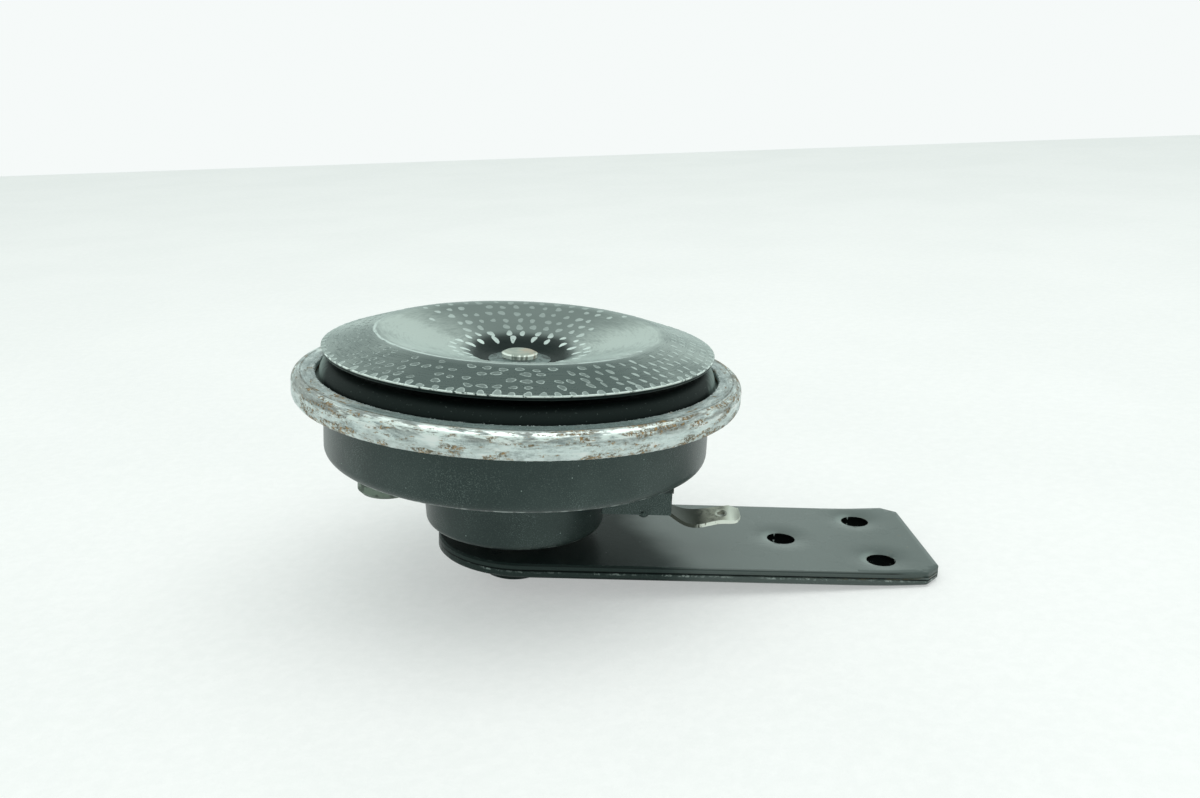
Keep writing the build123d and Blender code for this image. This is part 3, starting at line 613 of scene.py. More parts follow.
def disc_finish(colours):
    """Thin black paint over the spun sheet: brushed haze in the bowl with a painted sheen on its left and
    right sides, a painted highlight along the near crest, a worn rim edge with a painted highlight, painted
    shade in the centre and on the rim's wall.
    """
    s = new_material("Disc paint")
    point, x, y, z, radius = s.around()
    round_x, round_y = x / radius, y / radius
    streak = s.noise(s.joined(round_x * 9.0, round_y * 9.0, radius * 2.2), 1.0, 4.0, 0.65)
    brushed = s.noise(s.joined(round_x * 3.0, round_y * 3.0, radius * 0.55), 1.0, 4.0, 0.6)
    cloud = s.noise(s.shifted(point, 17.0), 0.05, 3.0)
    grain = s.noise(point, 3.5, 2.0)
    crest = DISC_CREST / MM
    # Painted sheen: strongest on the left and right of the disc, weaker at the front, none at the back.
    painted_sheen_side = s.rise(abs(round_x) - 0.5 * round_y, 0.2, 1.08)
    bowl = s.rise(radius, crest + 0.8, crest - 1.6) * s.rise(radius, 10.8, 14.5)
    cloudy = s.rise(brushed + 0.35 * streak + 0.5 * cloud, 0.62, 1.12)
    # Haze in the bowl: real scuffs, with a painted sheen on the left and right.
    haze = bowl * (0.19 + painted_sheen_side * (0.1 + 0.28 * cloudy + 0.85 * (streak - 0.3)))
    # A film of dust all over, with a painted sheen much stronger on the left and right.
    film = 0.1 * s.rise(cloud + 0.4 * streak, 0.5, 0.9) * (0.4 + 5.0 * s.rise(abs(round_x), 0.45, 1.0))
    tint = s.mix((haze * 0.9 + film).least(1.0), colours.disc_paint, colours.haze)
    # Painted highlight, though called rubbed: a bright line along the crest on its near side.
    rubbed = s.rise(abs(radius - crest - 0.2), 0.55, 0.1) * s.rise(streak, 0.3, 0.55)
    rubbed = rubbed * s.rise(y, 14.0, -6.0) * s.rise(x, 27.0, 16.0)
    tint = s.mix(rubbed * (0.5 + 0.3 * painted_sheen_side), tint, colours.bare)
    edge = DISC_RIM_HEIGHT / MM
    # A bright line along the top of the rim's edge: worn metal, with a painted highlight that grows towards
    # the near side.
    rim = s.rise(radius, 43.24, 43.34) * s.rise(z, edge - 0.36, edge - 0.22)
    worn = rim * s.rise(s.noise(point, 0.6, 4.0, 0.65) + 0.16 * s.rise(y, -5.0, -38.0), 0.52, 0.6)
    tint = s.mix(worn, tint, (0.86, 0.92, 0.88))
    rough = 0.2 + 0.12 * streak + 0.05 * grain + 0.15 * haze
    height = s.bump(0.6 * streak + 0.3 * grain, 0.01 * MM)
    soft = {"Sheen_Weight": 0.28, "Sheen_Roughness": 0.35, "Sheen_Tint": COOL, "Specular_Tint": COOL}
    outside = s.surface(tint, rough, 0.1 * worn, height, IOR=1.62, **soft)
    # Painted shade: a near black surface over the middle round the rivet, reaching further on the far side,
    # and over the rim's side wall.
    painted_shade_tint = s.mix(streak, dimmed(colours.disc_paint, 0.2), dimmed(colours.disc_paint, 0.6))
    inside = s.surface(painted_shade_tint, 0.4 + 0.1 * streak, 0.0, height, IOR=1.17, Specular_Tint=COOL)
    reach = radius + 3.0 * (cloud - 0.5) - 3.0 * s.rise(round_y, 0.2, 0.9)
    painted_shade_rim_wall = s.rise(radius, 43.1, 43.3) * s.rise(z, edge - 0.3, edge - 0.45)
    shade = (0.94 * s.rise(reach, 13.6, 9.5)).most(0.92 * painted_shade_rim_wall)
    return s.finished(s.node("ShaderNodeMixShader", None, {0: shade, 1: outside, 2: inside}))


def mark_finish(colours):
    """Worn dimples: outlined on the rolled zone, rubbed all over in the bowl, lighter on the left and right
    as a painted sheen.
    """
    s = new_material("Disc mark")
    point, x, _, _, radius = s.around()
    rim, rubbed = (s.stored(name) for name in MARK_VALUES)
    patch = s.noise(point, 1.6, 3.0)
    outline = s.rise(rim, 0.3, 0.95) * s.rise(patch, 0.3, 0.6)
    # Painted sheen: rubbed dimples on the left and right of the disc are lighter.
    painted_sheen_side = s.rise(abs(x / radius), 0.35, 0.9)
    on_rim = s.rise(radius, 41.4, 42.0)
    worn = (0.16 + 0.5 * outline + 0.34 * on_rim * (0.3 + outline)) * (1.0 - rubbed)
    worn = worn + rubbed * (0.3 + 0.2 * patch + 0.35 * painted_sheen_side) + 0.35 * s.rise(radius, 18.0, 13.5)
    tint = s.mix(worn.least(1.0), colours.disc_paint, colours.bare)
    height = s.bump(patch, 0.02 * MM)
    return s.finish(tint, 0.36 + 0.2 * patch, 0.0, height, IOR=1.55, Specular_Tint=COOL)


def diaphragm_finish(colours):
    """Deep black paint in the shade of the disc, its left and right ends lighter as a painted glint."""
    s = new_material("Diaphragm paint")
    point = s.place()
    specks = s.rise(s.noise(point, 1.9, 2.0, 0.6), 0.66, 0.74)
    cloud = s.noise(point, 0.14, 4.0)
    x = s.split(point)[0]
    ragged = s.noise(s.stretched(point, 1.0, 1.0, 0.2), 0.8, 3.0) - 0.5
    # Painted glint: the left and right ends turn towards the dust colour.
    side = s.rise(abs(x) + 2.0 * ragged, 40.0, 43.4)
    tint = s.mix(specks * 0.16 + 0.015 * cloud + 0.75 * side, dimmed(colours.paint, 0.25), colours.dust)
    return s.finish(tint, 0.5 + 0.15 * cloud, 0.0, s.bump(specks, 0.03 * MM), IOR=1.25,
                    Specular_Tint=COOL)


def ring_finish(colours):
    """Dull zinc: fine bloom in streaks, bright rubbed patches on the bend, grime and specks of rust."""
    s = new_material("Ring zinc")
    point, x, y, z, radius = s.around()
    round_x, round_y = x / radius, y / radius
    along = radius - z
    streak = s.noise(s.joined(round_x * 26.0, round_y * 26.0, along * 2.4), 1.0, 5.0, 0.62)
    patch = s.noise(s.joined(round_x * 7.0, round_y * 7.0, along * 0.5), 1.0, 4.0, 0.6)
    second = s.noise(s.shifted(s.joined(round_x * 5.0, round_y * 5.0, along * 0.5), 9.0), 1.0, 4.0, 0.6)
    grain = s.noise(point, 3.4, 4.0, 0.7)
    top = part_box("clamp_ring")[1].z / MM
    front = s.rise(y, -30.0, -42.0)
    flat = s.rise(z, top - 0.3, top - 0.04) * s.rise(radius, 48.4, 47.9) * (0.3 + 0.7 * front)
    bend = s.rise(radius, 47.9, 48.6) * s.rise(z, top - 2.6, top - 1.2)
    band = s.rise(z, top - 1.2, top - 2.6)
    bloom = s.rise(patch * 0.45 + streak * 0.35 + grain * 0.2 + 0.05 * band, 0.38, 0.6)
    tint = s.mix(bloom, colours.zinc, colours.oxide)
    grime = s.rise(second + 0.12 * bend + 0.1 * (streak - 0.5), 0.5, 0.68)
    tint = s.mix(grime * 0.6 * (1.0 - 0.6 * band), tint, colours.grime)
    mottled = s.rise(grain + 0.4 * (streak - 0.5), 0.4, 0.62)
    tint = s.mix(flat * 0.86, tint, s.mix(mottled, (0.045, 0.072, 0.068), (0.17, 0.235, 0.225)))
    bare = s.rise(patch + 0.3 * (streak - 0.5) + 0.13 * bend * front, 0.56, 0.66) * (1.0 - flat)
    tint = s.mix(bare, tint, (0.7, 0.74, 0.72))
    seam = s.rise(abs(radius - 48.0), 0.3, 0.08) * s.rise(z, top - 0.6, top - 0.2)
    tint = s.mix(seam * 0.75 * s.rise(streak, 0.35, 0.55), tint, dimmed(colours.rust, 0.35))
    side = s.rise(x, -10.0, 40.0)
    left = s.rise(x, -20.0, -38.0) * s.rise(y, -12.0, -26.0)
    low = s.rise(z, top - 3.6, top - 5.0)
    reach = 0.12 * side * bend * (0.5 + 0.5 * front) + 0.04 * left + 0.03 * low * (0.4 + side) - 0.1 * flat
    reach = reach - 0.04 * s.rise(x, -42.0, -47.0)
    cluster = s.noise(s.shifted(s.joined(round_x * 9.0, round_y * 9.0, along * 0.8), 5.0), 1.0, 5.0, 0.65)
    speck = s.noise(s.shifted(point, 21.0), 1.5, 5.0, 0.75)
    rust = s.rise(cluster + reach, 0.52, 0.62) * s.rise(speck + 0.12 * cluster, 0.5, 0.6)
    fresh = s.rise(s.noise(point, 1.3, 3.0), 0.48, 0.6)
    tint = s.mix(rust * 0.92, tint, s.mix(fresh, colours.rust, colours.fresh_rust))
    metal = bare * (1.0 - rust) * 0.9
    rough = 0.5 - 0.2 * bare + 0.25 * rust + 0.14 * (streak - 0.5)
    height = 0.4 * streak + 0.5 * grain + rust * (0.4 + 0.5 * grain)
    return s.finish(tint, rough, metal, s.bump(height, 0.05 * MM))


def grit_finish(colours):
    """Crumbs of paint and zinc at the mouth of the ring."""
    s = new_material("Ring grit")
    point = s.place()
    tint = s.mix(s.rise(s.noise(point, 1.4, 2.0), 0.4, 0.6), dimmed(colours.zinc, 0.3), colours.oxide)
    return s.finish(tint, 0.6 + 0.2 * s.noise(point, 3.0), 0.0)


def plated(name, tint, stain, amount, rough=0.36, turning=0.0):
    """Plated or turned metal with stains, and turning rings where wanted."""
    s = new_material(name)
    point, _, _, z, radius = s.around()
    cloud = s.noise(point, 0.5, 4.0, 0.6)
    fine = s.noise(point, 3.2, 3.0)
    mask = s.rise(cloud + 0.25 * fine, 0.78 - 0.3 * amount, 0.86 - 0.15 * amount)
    rings = s.noise(s.joined(0.0, 0.0, z * 5.0 + radius * 5.0), 1.0, 2.0)
    roughness = rough + 0.14 * (fine - 0.5) + 0.35 * mask + 0.1 * turning * rings
    height = 0.5 * fine + turning * rings
    return s.finish(s.mix(mask, tint, stain), roughness, 1.0 - 0.8 * mask, s.bump(height, 0.01 * MM))


def rivet_finish():
    """Zinc rivet head with an orange stain and a painted highlight on the near side of its bevel."""
    s = new_material("Rivet zinc")
    point = s.place()
    x, y, z = s.split(point)
    cloud = s.noise(point, 0.4, 3.0, 0.5)
    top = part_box("centre_rivet")[1].z / MM
    streaks = s.rise(s.noise(s.stretched(point, 1.4, 0.2, 0.2), 1.0, 2.0), 0.36, 0.56)
    # Painted highlight: near white streaks on the near side of the bevel.
    painted_bevel_highlight = s.rise(z, top - 0.1, top - 0.35) * s.rise(y, 1.0, -2.0) * streaks
    stain = s.rise(cloud + 0.05 * x, 0.5, 0.72)
    tint = s.mix(s.rise(cloud, 0.3, 0.7), (0.27, 0.31, 0.27), (0.41, 0.43, 0.37))
    tint = s.mix(stain * 0.55, tint, (0.4, 0.27, 0.17))
    tint = s.mix(painted_bevel_highlight * 0.9, tint, (0.9, 0.95, 0.88))
    height = s.bump(s.noise(point, 2.0), 0.012 * MM)
    return s.finish(tint, 0.4 + 0.15 * cloud, 0.3 - 0.2 * stain - 0.1 * painted_bevel_highlight, height)


def blade_finish(colours):
    """Dulled tin: olive tarnish in the dip, a white tip, a nicked near side with a painted highlight, and a
    burr round the hole with painted shade and a painted highlight.
    """
    s = new_material("Blade tin")
    point = s.place()
    x, y, _ = s.split(point)
    low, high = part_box("spade_terminal")
    tip, side = high.x / MM, low.y / MM
    cloud = s.noise(point, 0.7, 4.0, 0.65)
    fine = s.noise(point, 3.4, 3.0)
    dip = s.rise(x + 4.0 * (cloud - 0.5), tip - 7.0, tip - 9.5)
    white = s.rise(x + 1.6 * (cloud - 0.5) - 0.12 * y, tip - 2.6, tip - 0.6)
    tint = s.mix(s.rise(cloud, 0.35, 0.65), colours.tin, dimmed(colours.tin, 0.5))
    tint = s.mix(dip, tint, colours.tarnish)
    tint = s.mix(s.rise(fine, 0.6, 0.68) * 0.5, tint, colours.tarnish)
    along, across = x - BLADE_HOLE[0] / MM, y - BLADE_HOLE[1] / MM
    burr = s.rise(abs(span(along, across) - 1.2), 0.32, 0.12)
    # Painted shade on the burr's half towards the tip; its other half gets a painted highlight below.
    tint = s.mix(burr * s.rise(along, -0.6, 0.6), tint, dimmed(colours.tarnish, 0.3))
    nicks = s.rise(s.noise(s.stretched(point, 1.6, 0.1, 0.4), 1.0, 2.0), 0.36, 0.4)
    # Painted highlight along the near side edge towards the tip, broken by nicks in the tin.
    cut = s.rise(y, side + 0.2, side + 0.05) * s.rise(x, tip - 10.5, tip - 8.0) * nicks
    # Bright share: the white tip, with the painted highlights of the near edge and the burr.
    painted_highlight_and_tip = (white * 0.85 + cut + burr * s.rise(along, 0.3, -0.6) * 0.6).least(1.0)
    tint = s.mix(painted_highlight_and_tip, tint, (0.86, 0.89, 0.8))
    height = s.bump(0.6 * cloud + 0.3 * fine + 0.5 * burr, 0.04 * MM)
    return s.finish(tint, 0.42 + 0.12 * cloud - 0.1 * painted_highlight_and_tip, 0.6 - 0.3 * dip - 0.2 * painted_highlight_and_tip, height)


def moulded(name, tint, dust, amount, rough):
    """Moulded plastic or rubber with fine dust in its grain."""
    s = new_material(name)
    point = s.place()
    grain = s.noise(point, 4.0, 3.0, 0.7)
    cloud = s.noise(point, 0.35, 4.0)
    dusty = s.rise(grain + 0.15 * cloud, 0.5, 0.8) * amount
    tone = s.mix(dusty, tint, dust)
    return s.finish(tone, rough + 0.2 * dusty, 0.0, s.bump(grain, 0.02 * MM), IOR=1.5,
                    Specular_Tint=COOL)


def fibre_finish(name, tint, dark):
    """Pressed paper or fibre sheet."""
    s = new_material(name)
    point = s.place()
    strand = s.noise(s.stretched(point, 0.6, 3.0, 3.0), 1.2, 4.0, 0.65)
    cross = s.noise(s.stretched(point, 3.0, 0.6, 3.0), 1.2, 4.0, 0.65)
    tone = s.mix(s.rise(strand + cross, 0.85, 1.15), dark, tint)
    return s.finish(tone, 0.85 - 0.1 * strand, 0.0, s.bump(strand + cross, 0.03 * MM))


def winding_finish():
    """Enamelled copper, its turns laid side by side."""
    s = new_material("Enamelled copper")
    point = s.place()
    height = s.split(point)[2]
    turns = height.maths("SINE", height * (math.tau / WIRE_PITCH))
    cloud = s.noise(point, 0.6, 3.0)
    tint = s.mix(s.rise(cloud, 0.35, 0.7), (0.42, 0.13, 0.045), (0.24, 0.06, 0.022))
    return s.finish(tint, 0.28 + 0.1 * cloud, 0.8, s.bump(turns, 0.06 * MM), Coat_Weight=0.5)


def inner_finishes(colours):
    """Finish of each slot that no piece sets for itself."""
    steel, dark = (0.46, 0.46, 0.45), (0.09, 0.06, 0.045)
    return {
        "zinc_hardware": plated("Zinc hardware", (0.6, 0.62, 0.6), colours.rust, 0.35, 0.34, 0.4),
        "core_steel": plated("Core steel", steel, dark, 0.3, 0.32, 0.8),
        "enamelled_copper": winding_finish(),
        "spring_bronze": plated("Spring bronze", (0.66, 0.42, 0.2), (0.2, 0.1, 0.05), 0.15, 0.28),
        "tungsten": plated("Tungsten", (0.4, 0.4, 0.41), (0.06, 0.06, 0.07), 0.3, 0.4),
        "bobbin_plastic": moulded("Bobbin plastic", (0.46, 0.4, 0.3), (0.3, 0.25, 0.18), 0.2, 0.45),
        "gasket_fibre": fibre_finish("Gasket fibre", (0.24, 0.16, 0.1), (0.12, 0.075, 0.045)),
        "tinned_brass": plated("Tinned brass", (0.58, 0.56, 0.47), (0.12, 0.11, 0.07), 0.3, 0.34),
        "bush_metal": plated("Bush metal", (0.15, 0.19, 0.155), (0.09, 0.11, 0.09), 0.6, 0.42, 0.3),
        "rivet_zinc": plated("Washer zinc", (0.16, 0.2, 0.195), (0.05, 0.06, 0.058), 0.6, 0.34, 0.5),
        "block_plastic": moulded("Block moulding", colours.moulding, colours.dust, 0.35, 0.5),
        "seal_rubber": moulded("Seal rubber", colours.rubber, colours.dust, 0.1, 0.6),
    }


def seen_rays(s):
    """1 for what the camera, a reflection or glass sees, 0 for the light that falls on things."""
    camera, glossy, glass = (s.node("ShaderNodeLightPath", output=f"Is {ray} Ray")
                             for ray in ("Camera", "Glossy", "Transmission"))
    return (camera + glossy + glass).least(1.0)


def floor_finish(settings):
    """Pale board with a fine grit, which shows near white and keeps a soft shadow."""
    s = new_material("Floor")
    point = s.place()
    grain = s.noise(point, 0.35, 5.0, 0.65)
    cloud = s.noise(point, 0.012, 4.0)
    mottle = 0.6 * s.rise(grain, 0.35, 0.7) + 0.4 * s.rise(cloud, 0.35, 0.65)
    tint = s.mix(mottle, dimmed(settings.floor, 0.95), settings.floor)
    board = s.surface(tint, 0.85, 0.0, s.bump(grain, 0.25 * MM))
    glow = s.mix(mottle, (0.93, 0.96, 0.952), (0.98, 1.0, 0.995))
    white = s.node("ShaderNodeEmission", None, {"Color": glow, "Strength": 1.0})
    both = s.node("ShaderNodeMixShader", None, {0: seen_rays(s) * settings.glow, 1: board, 2: white})
    return s.finished(both)


# ---- pieces


MARK_ROWS = (  # radius in mm, count, length and width in mm, how often one is left out
    (42.85, 90, 1.85, 2.1, 0.03),
    (40.7, 84, 2.3, 1.25, 0.06),
    (38.5, 82, 2.3, 1.25, 0.06),
    (36.3, 78, 2.3, 1.25, 0.08),
    (34.3, 68, 2.2, 1.2, 0.1),
    (30.6, 50, 2.0, 1.6, 0.08),
    (28.0, 50, 2.0, 1.6, 0.05),
    (24.6, 48, 2.2, 1.6, 0.05),
    (21.2, 42, 2.3, 1.6, 0.05),
    (17.9, 34, 2.5, 1.5, 0.05),
    (15.0, 26, 2.7, 1.4, 0.05),
    (12.2, 18, 3.2, 1.4, 0.08),
)
MARK_LEANS = (  # distance along the bracket in mm, lean of the dimples in degrees
    (-44.0, 0.0),
    (-22.0, 8.0),
    (-14.0, -15.0),
    (-9.0, -30.0),
    (-4.0, -8.0),
    (3.0, 0.0),
    (9.0, -22.0),
    (44.0, -24.0),
)
RIM_ROW = 42.0 * MM             # a dimple further out lies on the rim
BUFFED_ROWS = (16.0, 32.0)      # mm, rows worn away on the flanks of the bowl
ROLL_START = 33.0               # mm, inner end of the rolled zone
MARK_VALUES = ("rim", "rubbed")
MARK_STEPS = 14
MARK_MARGIN = 0.12 * MM         # kept clear at the disc's edge
MARK_PROFILE = (  # share of the way out, height as a share of the relief, value of rim
    (0.0, 0.35, 0.1),
    (0.58, 0.4, 0.25),
    (0.85, 1.0, 1.0),
    (1.0, -0.35, 0.85),
)


def mark_direction(spot):
    """Which way a dimple lies: round the rim, much the same way over the roll, radial in the bowl."""
    radius = spot.length
    outward = math.atan2(spot.y, spot.x)
    if radius > RIM_ROW:
        return outward + math.pi / 2
    if radius < DISC_CREST:
        return outward
    along = spot.x / MM
    for (low, lean), (high, next_lean) in zip(MARK_LEANS, MARK_LEANS[1:]):
        if low <= along <= high:
            return math.radians(lean + (next_lean - lean) * (along - low) / (high - low))
    return 0.0


def add_mark(bm, layers, tree, spot, turn, half_length, half_width, relief, rng):
    """One worn dimple laid on the sheet: a raised outline round a lower middle."""
    waves = [rng.uniform(-0.12, 0.12) for _ in range(4)]
    edge = DISC_RADIUS - MARK_MARGIN
    rubbed = clamped(spot.x / (12.0 * MM) - 0.9)
    if spot.length < DISC_CREST:
        rubbed = 1.0
    elif spot.length > RIM_ROW:
        rubbed = 0.5
    made = []
    for share_out, height, rim in MARK_PROFILE:
        ring = []
        for k in range(MARK_STEPS if share_out else 1):
            a = math.tau * k / MARK_STEPS
            wave = 1.0 + waves[0] * math.cos(2 * a) + waves[1] * math.sin(2 * a)
            wave += waves[2] * math.cos(3 * a) + waves[3] * math.sin(3 * a)
            u = share_out * wave * half_length * math.cos(a)
            v = share_out * wave * half_width * math.sin(a)
            x = spot.x + u * math.cos(turn) - v * math.sin(turn)
            y = spot.y + u * math.sin(turn) + v * math.cos(turn)
            over = math.hypot(x, y)
            if over > edge:
                x, y = x * edge / over, y * edge / over
            hit, normal, _, _ = tree.ray_cast(Vector((x, y, 1.0)), Vector((0.0, 0.0, -1.0)))
            if hit is None:
                raise RuntimeError("a dimple misses the disc")
            vert = bm.verts.new(hit + normal * (height * relief))
            vert.co.z = min(vert.co.z, CAD_BOUNDS[1][2])
            vert[layers[0]], vert[layers[1]] = rim, rubbed
            ring.append(vert)
        made.append(ring)
    centre, *outer = made
    for k in range(MARK_STEPS):
        bm.faces.new((centre[0], outer[0][k], outer[0][(k + 1) % MARK_STEPS]))
    for inner, beyond in zip(outer, outer[1:]):
        for k in range(MARK_STEPS):
            m = (k + 1) % MARK_STEPS
            bm.faces.new((inner[k], beyond[k], beyond[m], inner[m]))


def disc_marks(settings, material):
    """All the worn dimples of the disc, in rows, as one piece."""
    rng = random.Random(settings.seed)
    disc = NODES["resonator_disc"].data
    points = [vert.co.copy() for vert in disc.vertices]
    tree = BVHTree.FromPolygons(points, [tuple(face.vertices) for face in disc.polygons])
    bm = bmesh.new()
    for name in MARK_VALUES:
        bm.verts.layers.float.new(name)
    layers = [bm.verts.layers.float[name] for name in MARK_VALUES]
    for radius, count, long, wide, gap in MARK_ROWS:
        phase = rng.uniform(0.0, math.tau)
        for k in range(count):
            if rng.random() < gap:
                continue
            turn = phase + math.tau * k / count + rng.gauss(0.0, settings.scatter * 0.5 / (radius * MM))
            out = radius * MM + rng.gauss(0.0, settings.scatter * 0.45)
            spot = Vector(polar(out, turn))
            in_bowl = BUFFED_ROWS[0] < radius < BUFFED_ROWS[1]
            if in_bowl and abs(math.cos(turn)) > rng.uniform(0.66, 0.88):
                continue
            if ROLL_START < radius < RIM_ROW / MM and spot.x < 8.0 * MM and rng.random() < 0.16:
                continue  # the rows are thinner away from the bracket
            size = rng.uniform(0.78, 1.15)
            half_length = 0.5 * size * long * MM * (1.0 - 0.28 * abs(math.cos(turn)))
            half_width = 0.5 * size * wide * MM
            if radius > RIM_ROW / MM:
                half_width *= 0.55 + 0.45 * abs(math.sin(turn))
            elif radius > ROLL_START:
                half_width *= 1.0 - 0.5 * clamped(spot.x / (20.0 * MM) - 0.4)
            lie = mark_direction(spot) + rng.gauss(0.0, 0.14)
            add_mark(bm, layers, tree, spot, lie, half_length, half_width, settings.relief, rng)
    new_piece("disc_marks", bm, VIBRATOR, material, 180.0)


def flexing_diaphragm(material):
    """The diaphragm in two pieces: its clamped shoulder stays and its middle gives with the stroke."""
    for name, keep_middle in (("diaphragm_shoulder", False), ("diaphragm_middle", True)):
        bm = node_bmesh("diaphragm")
        cut = [f for f in bm.faces if (f.calc_center_median().xy.length < DIAPHRAGM_CREST) != keep_middle]
        bmesh.ops.delete(bm, geom=cut, context="FACES")
        bmesh.ops.bridge_loops(bm, edges=[edge for edge in bm.edges if edge.is_boundary])
        bmesh.ops.recalc_face_normals(bm, faces=bm.faces)
        body = None if keep_middle else HOUSING
        piece = new_piece(name, bm, body, material)
        if keep_middle:
            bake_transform(piece, HOUSING, VIBRATOR,
                     start=(0.0, 0.0, DIAPHRAGM_HELD), end=(0.0, 0.0, DIAPHRAGM_FREE))
        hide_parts("diaphragm")


def worn_ring(settings, material):
    """The rolled clamp ring with uneven sheared edges and a slightly beaten band."""
    low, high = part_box("clamp_ring")
    outer, ceiling, shelf = high.x, high.z - settings.sheet, low.z + settings.sheet
    corners = [
        (RING_MOUTH, ceiling, RING_MOUTH_BEND),
        (RING_BORE, ceiling, 0.0),
        (RING_BORE, shelf, 0.0),
        (RING_LIP, shelf, 0.0),
        (RING_LIP, low.z, RING_LIP_BEND),
        (outer, low.z, settings.low_bend),
        (outer, high.z, settings.top_bend),
        (RING_MOUTH, high.z, RING_MOUTH_BEND),
    ]
    bm = lathe(subdivided(rounded(corners, RING_BEND_STEPS), RING_SPACING), RING_STEPS)
    for vert in bm.verts:
        radius = math.hypot(vert.co.x, vert.co.y)
        cx, cy = vert.co.x / radius, vert.co.y / radius
        slow = noise.noise(Vector((cx * 7.0, cy * 7.0, vert.co.z / MM * 0.25)))
        quick = noise.noise(Vector((cx * 55.0, cy * 55.0, vert.co.z / MM * 0.9)))
        shift = 0.0
        if radius > outer - 2.2 * MM:
            shift = settings.waviness * (0.6 * slow + 0.4 * quick - 0.85)
        elif radius < RING_MOUTH + 0.5 * MM and vert.co.z > ceiling - 0.1 * MM:
            shift = settings.edge_wear * (0.5 * slow + quick)
        drop = 0.0
        if vert.co.z < low.z + 0.6 * MM:
            drop = settings.edge_wear * (0.4 * slow + 0.6 * quick - 0.3)
        vert.co.x += cx * shift
        vert.co.y += cy * shift
        vert.co.z += drop
    ring = new_piece("worn_clamp_ring", bm, HOUSING, material, 40.0)
    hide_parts("clamp_ring")


def ring_grit(settings, material):
    """Crumbs that lie along the mouth of the clamp ring."""
    rng = random.Random(settings.seed)
    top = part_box("clamp_ring")[1].z
    bm = bmesh.new()
    for _ in range(settings.grit):
        turn = rng.uniform(0.0, math.tau)
        out = RING_MOUTH + rng.uniform(0.0, 0.3 * MM) + rng.uniform(0.0, 0.25 * MM)
        size = settings.grit_size * rng.uniform(0.5, 1.5)
        place = Matrix.Translation(polar(out, turn, top - 0.35 * size))
        spin = Matrix.Rotation(rng.uniform(0.0, math.pi), 4, Vector((rng.random(), rng.random(), 1.0)))
        stretch = Matrix.Diagonal((rng.uniform(0.7, 1.5), rng.uniform(0.7, 1.3), rng.uniform(0.6, 1.0), 1.0))
        bmesh.ops.create_icosphere(bm, subdivisions=1, radius=size, matrix=place @ spin @ stretch)
    for vert in bm.verts:
        vert.co.z = min(vert.co.z, top + 0.12 * MM)
    new_piece("ring_grit", bm, HOUSING, material, 60.0)


def dished_leaf(node, settings, material):
    """One leaf of the bracket, its sheet pressed in a little round each bolt hole."""
    bm = node_bmesh(node)
    low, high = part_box(node)
    near = min(hole[0] for hole in BOLT_HOLES) - BOLT_HOLE_RADIUS - settings.dish_reach
    cuts = [(0, near + k * settings.grid) for k in range(int((high.x - near) / settings.grid) + 1)]
    cuts += [(1, low.y + k * settings.grid) for k in range(1, int((high.y - low.y) / settings.grid) + 1)]
    for axis, position in cuts:
        normal = Vector((1.0, 0.0, 0.0)) if axis == 0 else Vector((0.0, 1.0, 0.0))
        geometry = bm.verts[:] + bm.edges[:] + bm.faces[:]
        bmesh.ops.bisect_plane(bm, geom=geometry, plane_co=normal * position, plane_no=normal, dist=1e-7)
    for vert in bm.verts:
        dip = 0.0
        for x, y in BOLT_HOLES:
            away = math.hypot(vert.co.x - x, vert.co.y - y) - BOLT_HOLE_RADIUS
            ease = clamped(1.0 - away / settings.dish_reach)
            dip = max(dip, ease * ease)
        bend = max(0.0, vert.co.x - settings.curl_start) / (high.x - settings.curl_start)
        vert.co.z += settings.curl * bend * bend - settings.dish_depth * dip
        if node == "bracket_lower_leaf":
            ease = clamped((vert.co.x - settings.proud_start) / (12.0 * MM))
            side = vert.co.y / high.y
            vert.co.y += settings.proud * ease * side ** 5
    leaf = new_piece("worn_" + node, bm, HOUSING, material, 32.0)
    for face in leaf.data.polygons:
        if abs(face.normal.z) > 0.99999:
            face.use_smooth = False
    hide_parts(node)


def moulding_pip(material):
    """Leftover of the moulding's gate on the lower edge of the terminal block."""
    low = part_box("terminal_block")[0]
    bm = bmesh.new()
    bmesh.ops.create_uvsphere(bm, u_segments=24, v_segments=14, radius=PIP_RADIUS)
    along, inward, up = PIP_PLACE
    spot = Matrix.Translation((along, low.y + inward, low.z + up))
    bmesh.ops.transform(bm, matrix=spot @ Matrix.Diagonal((1.0, 0.8, 0.75, 1.0)), verts=bm.verts)
    for vert in bm.verts:
        bend = noise.noise(vert.co * 900.0)
        vert.co.x += 0.12 * MM * bend
        vert.co.z += 0.08 * MM * bend
    new_piece("moulding_pip", bm, HOUSING, material, 60.0)


# ---- operators


